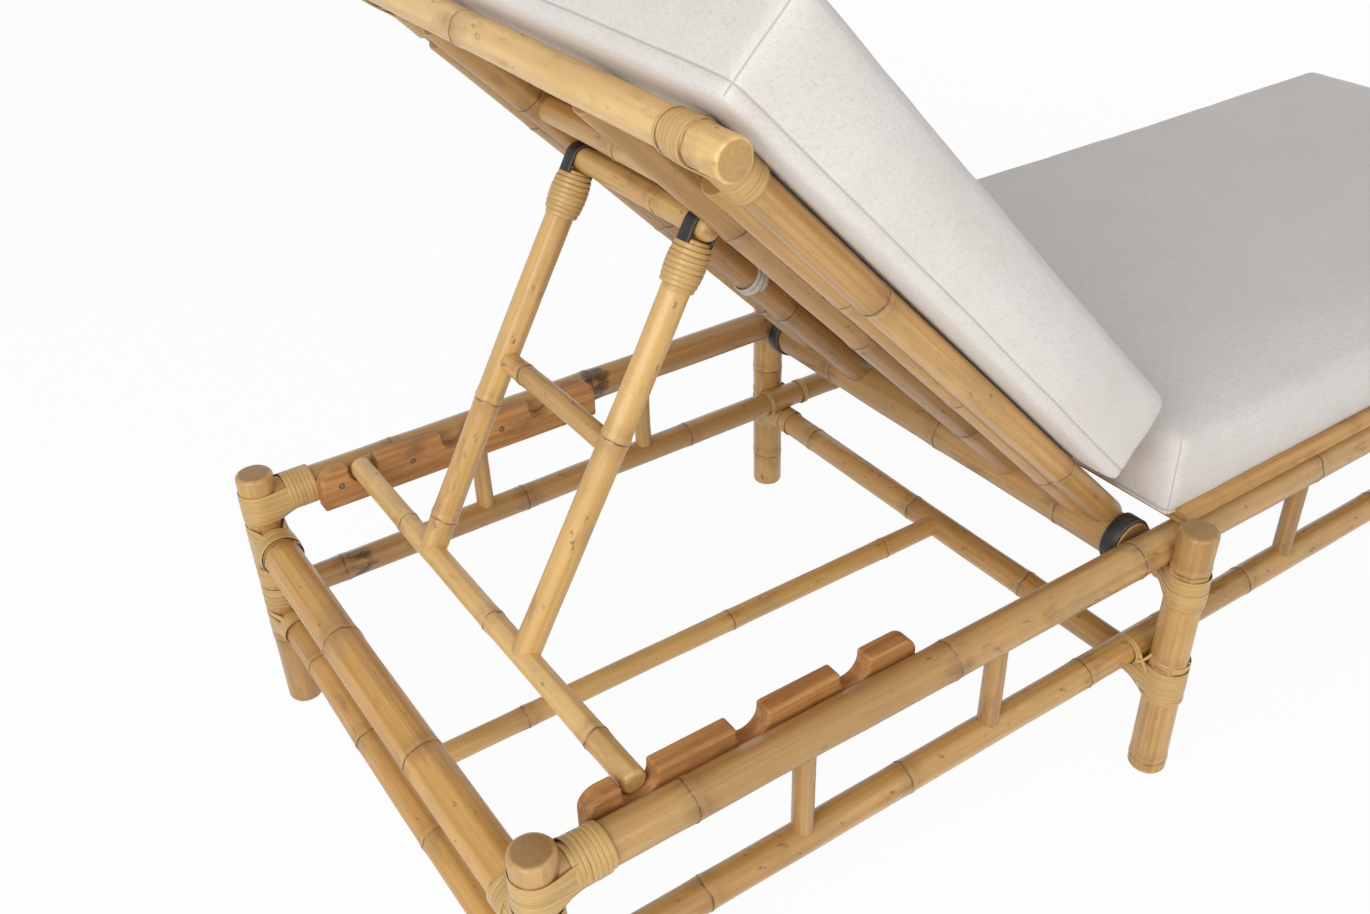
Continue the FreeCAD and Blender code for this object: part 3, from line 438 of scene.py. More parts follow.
class Culms:
    """Bamboo poles of one piece, with hand-planed sides, nodes and rounded ends."""

    def __init__(self):
        self.points, self.faces, self.culm = [], [], []
        self.gaps, self.nears, self.cuts, self.scorch, self.tones = [], [], [], [], []

    def add(self, start, end, radius, spots, seed, rim=RIM, bow=BOW, scorched=()):
        """spots are the nodes' distances from start, and scorched the dark stains' distances and angles."""
        chance = random.Random(seed)
        direction = (end - start).normalized()
        across, upward = side_vectors(direction)
        length = (end - start).length
        spots = [spot for spot in spots if 0 < spot < length]
        rims = {0.0: rim, length: rim}
        for step, share in RIM_STEPS:
            rims[step * rim] = rims[length - step * rim] = share * rim
        stations = set(rims) | set(np.linspace(rim, length - rim, max(3, int(length / STEP))).tolist())
        for spot in spots:
            stations.update(spot + step for step in NODE_STEPS)
        stations = sorted(s for s in stations if 0 <= s <= length)
        bend = chance.uniform(0, 2 * math.pi)
        sideways = across * math.cos(bend) + upward * math.sin(bend)
        shift = Vector((chance.uniform(0, 50), chance.uniform(0, 50), chance.uniform(0, 50)))
        facet = 2 * math.pi / chance.choice(FACET_COUNTS)
        tones = [chance.random() for _ in range(len(spots) + 1)]
        first = len(self.points)
        for station in stations:
            spot = min(spots, key=lambda spot: abs(station - spot), default=-1.0)
            inset = rims.get(station, 0.0)
            offset = bow * math.sin(math.pi * station / length)
            centre = start + direction * station + sideways * offset
            flatness = FLATNESS * min(1.0, min(station, length - station) / FACET_FADE)
            stains = (math.exp(-((station - place) / SCORCH_REACH) ** 2) for place, _ in scorched)
            stain = max(stains, default=0.0)
            for k in range(AROUND):
                angle = 2 * math.pi * k / AROUND
                ring = Vector((math.cos(angle), math.sin(angle), 0))
                flat = math.cos(facet / 2) / math.cos(angle % facet - facet / 2) - 1
                waver = noise.noise(ring * 2.4 + Z * station * 5 + shift) * 0.4 * MM
                planed = radius * flat * flatness + waver
                lumps = noise.noise(ring * 0.5 + Z * station * 14 + shift) * 0.5 * MM
                wave = noise.noise(ring * 1.2 + Z * spot * 40 + shift) * NODE_WAVE
                gap = station - spot + wave
                reach = radius - 0.1 * MM + planed + lumps + swell_at(gap) - inset
                self.points.append(centre + (across * math.cos(angle) + upward * math.sin(angle)) * reach)
                turned_out = (reach * math.cos(angle), reach * math.sin(angle))
                self.culm.append((station + seed * SEED_SHIFT, *turned_out))
                self.gaps.append(gap)
                self.tones.append(tones[sum(station + wave > place for place in spots)])
                self.nears.append(max(0.0, 1 - abs(gap) / NODE_REACH))
                self.cuts.append(1.0 if inset > 0.8 * rim else 0.0)
                turned = max((math.cos(angle - side) for _, side in scorched), default=0.0)
                self.scorch.append(stain * (0.75 + 0.35 * turned))
        for row in range(len(stations) - 1):
            for k in range(AROUND):
                a, b = first + row * AROUND + k, first + row * AROUND + (k + 1) % AROUND
                self.faces.append((a, b, b + AROUND, a + AROUND))
        last = first + (len(stations) - 1) * AROUND
        self.close_end(start, first, seed, -1)
        self.close_end(end, last, seed, 1)

    def close_end(self, centre, row, seed, turn):
        hub = len(self.points)
        self.points.append(centre)
        self.culm.append((seed * SEED_SHIFT, 0.0, 0.0))
        self.gaps.append(1.0)
        self.nears.append(0.0)
        self.cuts.append(1.0)
        self.scorch.append(0.0)
        self.tones.append(0.5)
        for k in range(AROUND):
            a, b = row + k, row + (k + 1) % AROUND
            self.faces.append((a, b, hub) if turn > 0 else (b, a, hub))

    def piece(self, name, material):
        mesh = smooth_mesh(name, self.points, self.faces)
        set_attribute(mesh, "culm", "FLOAT_VECTOR", self.culm)
        set_attribute(mesh, "node_gap", "FLOAT", self.gaps)
        set_attribute(mesh, "node_near", "FLOAT", self.nears)
        set_attribute(mesh, "cut", "FLOAT", self.cuts)
        set_attribute(mesh, "scorch", "FLOAT", self.scorch)
        set_attribute(mesh, "tone", "FLOAT", self.tones)
        return new_object(name, mesh, material)


# Each pole's finish and its nodes, in millimetres from its start: the head, right, top or floor end
POLES = {
    "head_leg_left": (OLIVE, (101, 210)),
    "head_leg_right": (OLIVE, (92, 215)),
    "mid_leg_left": (PALE, (52, 196)),
    "mid_leg_right": (HONEY, (18, 158, 283)),
    "foot_leg_left": (OLIVE, (80, 216)),
    "foot_leg_right": (HONEY, (64, 212)),
    "upper_rail_left": (BROWN, (152, 416, 690, 955, 1228, 1490, 1752)),
    "upper_rail_right": (OLIVE, (134, 428, 684, 978, 1252, 1530, 1790)),
    "lower_rail_left": (BROWN, (65, 310, 563, 818, 1070, 1325, 1580, 1830)),
    "lower_rail_right": (SPOTTED, (146, 381, 632, 896, 1150, 1402, 1655)),
    "head_upper_bar": (AMBER, (207, 404, 582)),
    "head_lower_bar": (AMBER, (70, 212, 373, 514)),
    "foot_upper_bar": (HONEY, (96, 262, 430)),
    "foot_lower_bar": (BROWN, (120, 270, 420, 560)),
    "mid_upper_bar": (BROWN, (160, 350, 530)),
    "mid_lower_bar": (SPOTTED, (191, 386, 588)),
    "centre_stretcher": (PALE, (137, 406, 640)),
    "hinge_bar": (BROWN, (90, 277, 470)),
    "top_bar": (IVORY, (40, 378, 612)),
    "side_pole_left": (OLIVE, (205, 420, 640)),
    "side_pole_right": (HONEY, (238, 607)),
    "ledger_left": (OLIVE, (140, 350, 560)),
    "ledger_right": (HONEY, (180, 380, 580)),
    "inner_pole_left": (BROWN, (120, 340, 560)),
    "inner_pole_right": (BROWN, (190, 400, 620)),
    "upper_rung": (PALE, (110,)),
    "pivot_rung": (PALE, (80,)),
    "prop_leg_left": (PALE, (39, 173)),
    "prop_leg_right": (PALE, (228,)),
    "prop_bar": (IVORY, (63, 253, 450)),
    "prop_rung": (PALE, (150,)),
    "seat_bearer": (HONEY, (150, 400, 660, 910)),
}
SCORCHES = {"lower_rail_left": ((74 * MM, -0.8),), "upper_rail_left": ((422 * MM, -0.8),)}
SPINDLE_ROOM = 60 * MM
RIMS = {"prop_bar": 5.0 * MM, "top_bar": 3.0 * MM, "pivot_rung": 9.0 * MM,
        "prop_leg_left": 2.0 * MM, "prop_leg_right": 2.0 * MM}
RUNG_TRIM = 0.1
PROP_LEG_REACH = 2.6 * MM


def make_poles():
    for seed, (node, (material, spots)) in enumerate(POLES.items(), start=1):
        start, end, radius = axis_of(node)
        culms = Culms()
        rim = RIMS.get(node, LEG_RIM if "leg" in node else RIM)
        if node.startswith("upper_rail"):
            radius = RAIL_RADIUS
        if node == "pivot_rung":
            start, end = start - Y * (start.y * RUNG_TRIM), end - Y * (end.y * RUNG_TRIM)
        if node.startswith("prop_leg"):
            end = end + (end - start).normalized() * PROP_LEG_REACH
        spots = [spot * MM for spot in spots]
        culms.add(start, end, radius, spots, seed, rim, scorched=SCORCHES.get(node, ()))
        settle(culms.piece(f"{node}_culm", material), body_of[node], "bamboo", node)


def make_spindles():
    for seed, side in enumerate(("left", "right"), start=60):
        node = f"spindles_{side}"
        low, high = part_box(node)
        radius = (high.y - low.y) / 2
        stations = sorted(vertex.co.x for vertex in nodes[node].data.vertices)
        groups = [[stations[0]]]
        for station in stations[1:]:
            if station - groups[-1][-1] > SPINDLE_ROOM:
                groups.append([])
            groups[-1].append(station)
        culms = Culms()
        for k, group in enumerate(groups):
            spot = Vector(((group[0] + group[-1]) / 2, (low.y + high.y) / 2, low.z))
            culms.add(spot, spot + Z * (high.z - low.z), radius, (), seed * 10 + k, bow=SPINDLE_BOW)
        settle(culms.piece(f"{node}_culms", HONEY if side == "left" else BROWN), "base", "bamboo", node)


make_poles()
make_spindles()

# Strips of rattan peel, leather and tape, swept along a path that lies on the surface below

PEEL_PROFILE = ((-0.5, 0.0), (-0.47, 0.7), (-0.3, 0.95), (0.0, 1.0), (0.3, 0.95), (0.47, 0.7), (0.5, 0.0))
STRAP_PROFILE = ((-0.5, 0.0), (-0.5, 0.75), (-0.46, 1.0), (0.0, 1.0), (0.46, 1.0), (0.5, 0.75), (0.5, 0.0))
PEEL_WIDTH = 5.0 * MM
PEEL_PITCH = 4.7 * MM
PEEL_THICKNESS = 0.9 * MM
TURN_STEPS = 30
TUCK = 2.2 * MM
TUCK_TURNS = 0.16
RAIL_TAIL = 48 * MM
BAR_TAIL = 38 * MM
TOP_TAIL = 46 * MM
MID_TAIL = 40 * MM
MID_LOW_TAIL = 44 * MM
WRAP_START = 25 * MM
CORNER_WRAP_HEIGHT = 184 * MM
TIE_HEIGHT = 154 * MM
LINK_START = 27 * MM
LINK_HEIGHTS = (132 * MM, 166 * MM)
PROP_WRAP = 42 * MM
COARSE = {"width": 5.8 * MM, "pitch": 5.2 * MM}
NARROW = {"width": 3.8 * MM, "pitch": 3.8 * MM}


class Strips:
    """Strips that make up one piece. A path is a list of points with the outward direction at each."""

    def __init__(self, seed):
        self.chance = random.Random(seed)
        self.points, self.faces, self.runs, self.edges = [], [], [], []

    def add(self, path, width=PEEL_WIDTH, thickness=PEEL_THICKNESS, profile=PEEL_PROFILE, closed=False):
        places = [point for point, outward in path]
        count, size, first = len(path), len(profile), len(self.points)
        tint = self.chance.uniform(0, 40)
        distance = 0.0
        for k, (point, outward) in enumerate(path):
            before = places[k - 1] if k or closed else point
            after = places[(k + 1) % count] if k + 1 < count or closed else point
            heading = (after - before).normalized()
            aside = heading.cross(outward).normalized()
            upright = aside.cross(heading)
            distance += (point - before).length
            for across, height in profile:
                self.points.append(point + aside * (across * width) + upright * (height * thickness))
                self.runs.append((distance, across * width, tint))
                self.edges.append(abs(across) * 2)
        rows = count if closed else count - 1
        for row in range(rows):
            here, there = first + row * size, first + (row + 1) % count * size
            for k in range(size):
                a, b = k, (k + 1) % size
                self.faces.append((here + a, here + b, there + b, there + a))
        if not closed:
            last = first + rows * size
            self.faces.append(tuple(reversed(range(first, first + size))))
            self.faces.append(tuple(range(last, last + size)))

    def piece(self, name, material):
        mesh = smooth_mesh(name, self.points, self.faces)
        set_attribute(mesh, "run", "FLOAT_VECTOR", self.runs)
        set_attribute(mesh, "edge", "FLOAT", self.edges)
        return new_object(name, mesh, material)

    def wrap(self, centre, axis, radius, turns, pitch=PEEL_PITCH, bulge=0.0, **strip):
        """A strip wound round a pole, from centre along axis. bulge is how far its middle turns stand out."""
        across, upward = side_vectors(axis)
        start = self.chance.uniform(0, 2 * math.pi)
        drift = self.chance.uniform(0, 50)
        steps = int(turns * TURN_STEPS)
        path = []
        for k in range(steps + 1):
            share = k / steps
            angle = start + 2 * math.pi * turns * share
            outward = across * math.cos(angle) + upward * math.sin(angle)
            sway = noise.noise(Vector((angle * 0.7, drift, 0))) * 0.35 * MM
            ripple = 0.25 * MM * noise.noise(Vector((angle, drift, 9)))
            lift = bulge * math.sin(math.pi * share) ** 0.6 + ripple
            lift -= TUCK * max(0.0, 1 - min(share, 1 - share) * turns / TUCK_TURNS) ** 2
            path.append((centre + axis * (pitch * turns * share + sway) + outward * (radius + lift), outward))
        self.add(path, **strip)

    def saddle(self, centre, bar, tail, bar_radius, tail_radius, offset, reach, lean=Vector(), **strip):
        """A strip round the far side of a bar, with both its ends laid along a second pole that runs to tail.
        lean is how far that pole's axis lies from the bar's."""
        beside = bar.cross(tail)
        kept = max(-0.86, min(0.86, offset / tail_radius)) * tail_radius
        height = math.sqrt(tail_radius ** 2 - kept ** 2)
        sway = self.chance.uniform(-0.5, 0.5) * MM
        lift = 0.2 * MM + self.chance.uniform(0, 0.5) * MM

        def tail_end(side):
            points = []
            for k in range(1, 9):
                share = k / 8
                ease = share * share * (3 - 2 * share)
                aside = (bar_radius * (1 - ease) + height * ease + lift) * side
                level = offset * (1 - ease) + kept * ease
                resting = (bar * kept + beside * (side * height)).normalized()
                outward = (beside * (side * (1 - ease)) + resting * ease).normalized()
                resting_on = centre + tail * (reach * share) + lean * ease
                points.append((resting_on + bar * (level + sway) + beside * aside, outward))
            return points

        round_bar = []
        for k in range(17):
            angle = math.pi * (k / 16 - 0.5)
            outward = beside * math.sin(angle) - tail * math.cos(angle)
            round_bar.append((centre + bar * (offset + sway) + outward * (bar_radius + lift), outward))
        self.add(list(reversed(tail_end(-1))) + round_bar + tail_end(1), **strip)

    def link(self, start, end, outward, rise, **strip):
        """A short strip from one point to another, bowed outwards by rise."""
        path = []
        for k in range(9):
            share = k / 8
            path.append((start.lerp(end, share) + outward * (rise * math.sin(math.pi * share)), outward))
        self.add(path, **strip)


def spread(first, last, count):
    return [first + (last - first) * k / (count - 1) for k in range(count)]


def bind_corner(strips, leg, rail_way, bar_way):
    """Bindings of an end leg: the upper rail, the upper bar, then the lower rail and bar.
    leg is its axis at z = 0."""
    leg_radius = radius_of("head_leg_left")
    upper_bar = radius_of("head_upper_bar")
    lower = radius_of("head_lower_bar")
    rail_level = leg + Z * middle_of("upper_rail_left").z
    for offset in spread(-18 * MM, 13 * MM, 7):
        strips.saddle(rail_level, Z, rail_way, leg_radius, RAIL_RADIUS, offset, RAIL_TAIL, width=6.2 * MM)
    strips.wrap(rail_level + rail_way * 27 * MM, rail_way, RAIL_RADIUS + 1.7 * MM, 7.4)
    bar_level = leg + Z * middle_of("head_upper_bar").z
    for offset in spread(-21 * MM, 20 * MM, 9):
        strips.saddle(bar_level, Z, bar_way, leg_radius, upper_bar, offset, BAR_TAIL, width=6.2 * MM)
    strips.wrap(bar_level + bar_way * WRAP_START, bar_way, upper_bar + 1.6 * MM, 4.3, **COARSE)
    strips.wrap(leg + Z * CORNER_WRAP_HEIGHT, Z, leg_radius + 0.3 * MM, 4.4)
    low_rail_level = leg + Z * middle_of("lower_rail_left").z
    for offset in spread(-8 * MM, 14 * MM, 5):
        strips.saddle(low_rail_level, Z, rail_way, leg_radius, lower, offset, BAR_TAIL, width=5.6 * MM)
    strips.wrap(low_rail_level + rail_way * WRAP_START, rail_way, lower + 1.6 * MM, 3.2)
    low_bar_level = leg + Z * middle_of("head_lower_bar").z
    for offset in spread(-13 * MM, 13 * MM, 6):
        strips.saddle(low_bar_level, Z, bar_way, leg_radius, lower, offset, BAR_TAIL, width=5.6 * MM)
    strips.wrap(low_bar_level + bar_way * WRAP_START, bar_way, lower + 1.6 * MM, 3.4, **COARSE)


def bind_mid_leg(strips, leg, bar_way):
    """Bindings of a mid leg: strips round it that take in the two cross-bars, ties round the lower rail."""
    leg_radius = radius_of("mid_leg_left")
    bar, lower = radius_of("mid_upper_bar"), radius_of("mid_lower_bar")
    upper_level = leg + Z * middle_of("mid_upper_bar").z
    bar_shift = X * (middle_of("mid_upper_bar").x - leg.x)
    for offset in spread(-17 * MM, 17 * MM, 7):
        strips.saddle(upper_level, Z, bar_way, leg_radius, bar, offset, MID_TAIL, bar_shift, width=6.0 * MM)
    strips.wrap(upper_level + bar_shift + bar_way * 22 * MM, bar_way, bar + 1.4 * MM, 4.4)
    lower_level = leg + Z * middle_of("mid_lower_bar").z
    for offset in spread(-19 * MM, 20 * MM, 9):
        strips.saddle(lower_level, Z, bar_way, leg_radius, lower, offset, MID_LOW_TAIL, width=5.8 * MM)
    strips.wrap(lower_level + bar_way * 46 * MM, bar_way, lower + 0.8 * MM, 3.2)
    strips.wrap(leg + Z * TIE_HEIGHT, Z, leg_radius + 0.3 * MM, 2.2, width=3.6 * MM, pitch=3.6 * MM)
    rail_middle = middle_of("lower_rail_left")
    rail = Vector((leg.x, math.copysign(rail_middle.y, leg.y), rail_middle.z))
    rail_radius = radius_of("lower_rail_left")
    for side in (-1, 1):
        along = X * side
        strips.wrap(rail + along * WRAP_START, along, rail_radius + 0.3 * MM, 2.3, **NARROW)
        slant = (along - bar_way).normalized()
        flank = leg + along * (leg_radius * 0.8) + bar_way * (leg_radius * 0.5)
        rail_top = rail + along * LINK_START + Z * (rail_radius * 0.7) - bar_way * (rail_radius * 0.75)
        strips.link(rail_top, flank + Z * LINK_HEIGHTS[0], slant, 2.0 * MM, width=3.6 * MM)
        rail_foot = rail + along * LINK_START - Z * (rail_radius * 0.7) - bar_way * (rail_radius * 0.75)
        strips.link(rail_foot, flank + Z * LINK_HEIGHTS[1], slant, 3.0 * MM, width=3.6 * MM)


def bind_top(strips, side):
    """Bindings where the top bar crosses an outer pole of the backrest."""
    start, end, pole = axis_of(f"side_pole_{side}")
    bar = radius_of("top_bar")
    centre = middle_of("top_bar")
    centre.y = start.y
    outwards = math.copysign(1, start.y)
    down = (end - start).normalized()
    lean = (start - centre) - down * (start - centre).dot(down)
    for offset in spread(-4 * MM, 15 * MM, 5):
        strips.saddle(centre, Y, down, bar, pole, offset * outwards, TOP_TAIL, lean, width=5.2 * MM)
    strips.saddle(centre, Y, down, bar, pole, -12 * MM * outwards, TOP_TAIL, lean, width=3.4 * MM)
    strips.wrap(start + down * 19 * MM, down, pole + 1.1 * MM, 9.4, width=5.0 * MM)


def make_lashings():
    base = Strips(201)
    for end in ("head", "foot"):
        for side in ("left", "right"):
            leg = middle_of(f"{end}_leg_{side}")
            leg.z = 0
            bind_corner(base, leg, X * -math.copysign(1, leg.x), Y * -math.copysign(1, leg.y))
    for side in ("left", "right"):
        leg = middle_of(f"mid_leg_{side}")
        leg.z = 0
        bind_mid_leg(base, leg, Y * -math.copysign(1, leg.y))
    settle(base.piece("base_bindings", PEEL), "base", "rattan_peel", "base_lashings")
    back = Strips(202)
    for side in ("left", "right"):
        bind_top(back, side)
    settle(back.piece("backrest_bindings", PEEL), "backrest", "rattan_peel", "backrest_lashings")
    prop = Strips(203)
    for side in ("left", "right"):
        foot, top, radius = axis_of(f"prop_leg_{side}")
        rise = (top - foot).normalized()
        prop.wrap(top - rise * PROP_WRAP, rise, radius + 0.4 * MM, 8.9, bulge=3.2 * MM)
    settle(prop.piece("prop_bindings", PEEL), "prop", "rattan_peel", "prop_lashings")


make_lashings()

# Leather straps

STRAP_THICKNESS = 3.0 * MM
PROP_STRAP_THICKNESS = 2.5 * MM
HINGE_CLEARANCE = 0.3 * MM
PROP_STRAP_TAIL = 46 * MM


def belt_path(first, first_radius, second, second_radius):
    """A closed path round two circles in the XZ plane."""
    way = second - first
    facing = math.atan2(way.z, way.x)
    spread_angle = math.acos((first_radius - second_radius) / way.length)
    arcs = ((first, first_radius, facing + spread_angle, facing + 2 * math.pi - spread_angle),
            (second, second_radius, facing - spread_angle, facing + spread_angle))
    path = []
    for centre, radius, begin, end in arcs:
        for angle in np.linspace(begin, end, 25):
            outward = Vector((math.cos(angle), 0, math.sin(angle)))
            path.append((centre + outward * radius, outward))
    return path


def make_straps():
    tail_bar = middle_of("mid_upper_bar")
    bore = radius_of("hinge_bar") + HINGE_CLEARANCE
    for side in ("left", "right"):
        low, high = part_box(f"hinge_strap_{side}")
        shift = Y * ((low.y + high.y) / 2)
        strap = Strips(210)
        path = belt_path(hinge, bore, tail_bar, radius_of("mid_upper_bar"))
        strap.add([(point + shift, outward) for point, outward in path], high.y - low.y, STRAP_THICKNESS,
                  STRAP_PROFILE, closed=True)
        settle(strap.piece(f"hinge_strap_{side}_leather", LEATHER), "base", "leather", f"hinge_strap_{side}")
        low, high = corners_in(PROP, f"prop_strap_{side}")
        reach = high.x - PROP_STRAP_THICKNESS
        path = [(Vector((-reach, 0, height)), -X) for height in np.linspace(-PROP_STRAP_TAIL, -4 * MM, 6)]
        for angle in np.linspace(math.pi, 0, 25):
            outward = Vector((math.cos(angle), 0, math.sin(angle)))
            path.append((outward * reach, outward))
        path += [(Vector((reach, 0, height)), X) for height in np.linspace(-4 * MM, -PROP_STRAP_TAIL, 6)]
        turn = PROP.to_3x3()
        shift = Y * ((low.y + high.y) / 2)
        strap = Strips(211)
        strap.add([(PROP @ (point + shift), turn @ outward) for point, outward in path], high.y - low.y,
                  PROP_STRAP_THICKNESS, STRAP_PROFILE)
        settle(strap.piece(f"prop_strap_{side}_leather", LEATHER), "prop", "leather", f"prop_strap_{side}")


make_straps()

# Screws in the racks and the cotton tie of the back cushion

SCREW_RADIUS = 3.8 * MM
SCREW_SIDES = 24
SCREW_RECESS = 0.7 * MM
SCREW_STATIONS = (-0.8745, -0.7875, -0.6725)
SCREW_LEVEL = 0.297
TIE_STATION = 478 * MM


def screw_mesh():
    """A countersunk head with a cross recess, facing +Z."""
    rings = ((0.35, 0.5), (0.7, 0.42), (0.92, 0.3), (1.0, 0.0), (0.9, -0.6))
    mesh = bmesh.new()
    rows = []
    for share, height in rings:
        reach = share * SCREW_RADIUS
        row = []
        for k in range(SCREW_SIDES):
            angle = 2 * math.pi * k / SCREW_SIDES
            in_arm = share < 0.6 and k % 6 in (0, 1, 5)
            level = height * MM - (SCREW_RECESS if in_arm else 0.0)
            row.append(mesh.verts.new((reach * math.cos(angle), reach * math.sin(angle), level)))
        rows.append(row)
    hub = mesh.verts.new((0, 0, -0.3 * MM))
    for k in range(SCREW_SIDES):
        after = (k + 1) % SCREW_SIDES
        mesh.faces.new((hub, rows[0][k], rows[0][after]))
        for inner, outer in zip(rows, rows[1:]):
            mesh.faces.new((inner[k], outer[k], outer[after], inner[after]))
    head = bpy.data.meshes.new("screw")
    mesh.to_mesh(head)
    mesh.free()
    head.shade_smooth()
    return head


def make_screws():
    head = screw_mesh()
    head.materials.append(STEEL)
    for side, inward in (("left", -1), ("right", 1)):
        low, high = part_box(f"rack_{side}")
        face = low.y if inward < 0 else high.y
        for k, station in enumerate(SCREW_STATIONS):
            screw = bpy.data.objects.new(f"rack_{side}_screw_{k + 1}", head)
            bpy.context.scene.collection.objects.link(screw)
            turn = (Y * inward).to_track_quat("Z", "Y").to_matrix() @ Matrix.Rotation(0.4 + k, 3, "Z")
            screw.matrix_world = Matrix.Translation((station, face, SCREW_LEVEL)) @ turn.to_4x4()
            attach(screw, "base")


def make_tie():
    start, end, radius = axis_of("inner_pole_left")
    down = (end - start).normalized()
    tie = Strips(220)
    tie.wrap(start + down * TIE_STATION, down, radius + 0.3 * MM, 2.3,
             pitch=7 * MM, width=6.5 * MM, thickness=1.6 * MM)
    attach(tie.piece("cushion_tie", COTTON), "backrest")


make_screws()
make_tie()

# Cushions: a rounded box filled by pressure, then seams sewn round its sides

CELL = 9 * MM
TOP_EDGE = 16 * MM
BOTTOM_EDGE = 5 * MM
TOP_SEAM = 7 * MM
TOP_SEAM_SHOW = 0.6
SEAM_DEPTH = 1.1 * MM
SEAM_STEPS = (-0.5, -0.22, 0.0, 0.22, 0.5)
WRINKLE = 0.9 * MM
WRINKLE_REACH = 30 * MM
BROAD_WAVE = 1.5 * MM
FINE_WAVE = 0.6 * MM
CROWN = 14 * MM
START_CROWN = 4 * MM
FILL_LIMIT = 24 * MM
FILL_FRAMES = 20


def box_grid(nx, ny, nz):
    """Keys and faces of the cells on a box's six sides."""
    keys = [(i, j, k) for i in range(nx + 1) for j in range(ny + 1) for k in range(nz + 1)
            if i in (0, nx) or j in (0, ny) or k in (0, nz)]
    number = {key: place for place, key in enumerate(keys)}
    faces = []

    def side(columns, rows, key):
        for u in range(columns):
            for v in range(rows):
                faces.append(tuple(number[key(u + a, v + b)] for a, b in ((0, 0), (1, 0), (1, 1), (0, 1))))

    side(nx, ny, lambda u, v: (u, v, nz))
    side(ny, nx, lambda u, v: (v, u, 0))
    side(nx, nz, lambda u, v: (u, 0, v))
    side(nz, nx, lambda u, v: (v, ny, u))
    side(ny, nz, lambda u, v: (nx, u, v))
    side(nz, ny, lambda u, v: (0, v, u))
    return keys, faces


def filled(name, points, faces):
    """Points of a closed cover after cloth pressure, each moved by less than FILL_LIMIT."""
    mesh = bpy.data.meshes.new(name)
    mesh.from_pydata(points.tolist(), [], faces)
    cover = bpy.data.objects.new(name, mesh)
    bpy.context.scene.collection.objects.link(cover)
    cloth = cover.modifiers.new("Cloth", "CLOTH")
    settings = cloth.settings
    settings.quality = 5
    settings.mass = 0.3
    settings.tension_stiffness = 40
    settings.compression_stiffness = 40
    settings.shear_stiffness = 8
    settings.bending_stiffness = 2
    settings.use_pressure = True
    settings.uniform_pressure_force = 0.35
    settings.effector_weights.gravity = 0
    cloth.collision_settings.use_collision = False
    cloth.point_cache.frame_start = 1
    cloth.point_cache.frame_end = FILL_FRAMES
    scene = bpy.context.scene
    for step in range(1, FILL_FRAMES + 1):
        scene.frame_set(step)
    result = cover.evaluated_get(bpy.context.evaluated_depsgraph_get()).data
    moved = np.empty(len(points) * 3, np.float32)
    result.vertices.foreach_get("co", moved)
    scene.frame_set(1)
    bpy.data.objects.remove(cover)
    bpy.data.meshes.remove(mesh)
    change = moved.reshape(-1, 3) - points
    length = np.linalg.norm(change, axis=1, keepdims=True)
    return points + change * (FILL_LIMIT * np.tanh(length / FILL_LIMIT) / np.maximum(length, 1e-9))


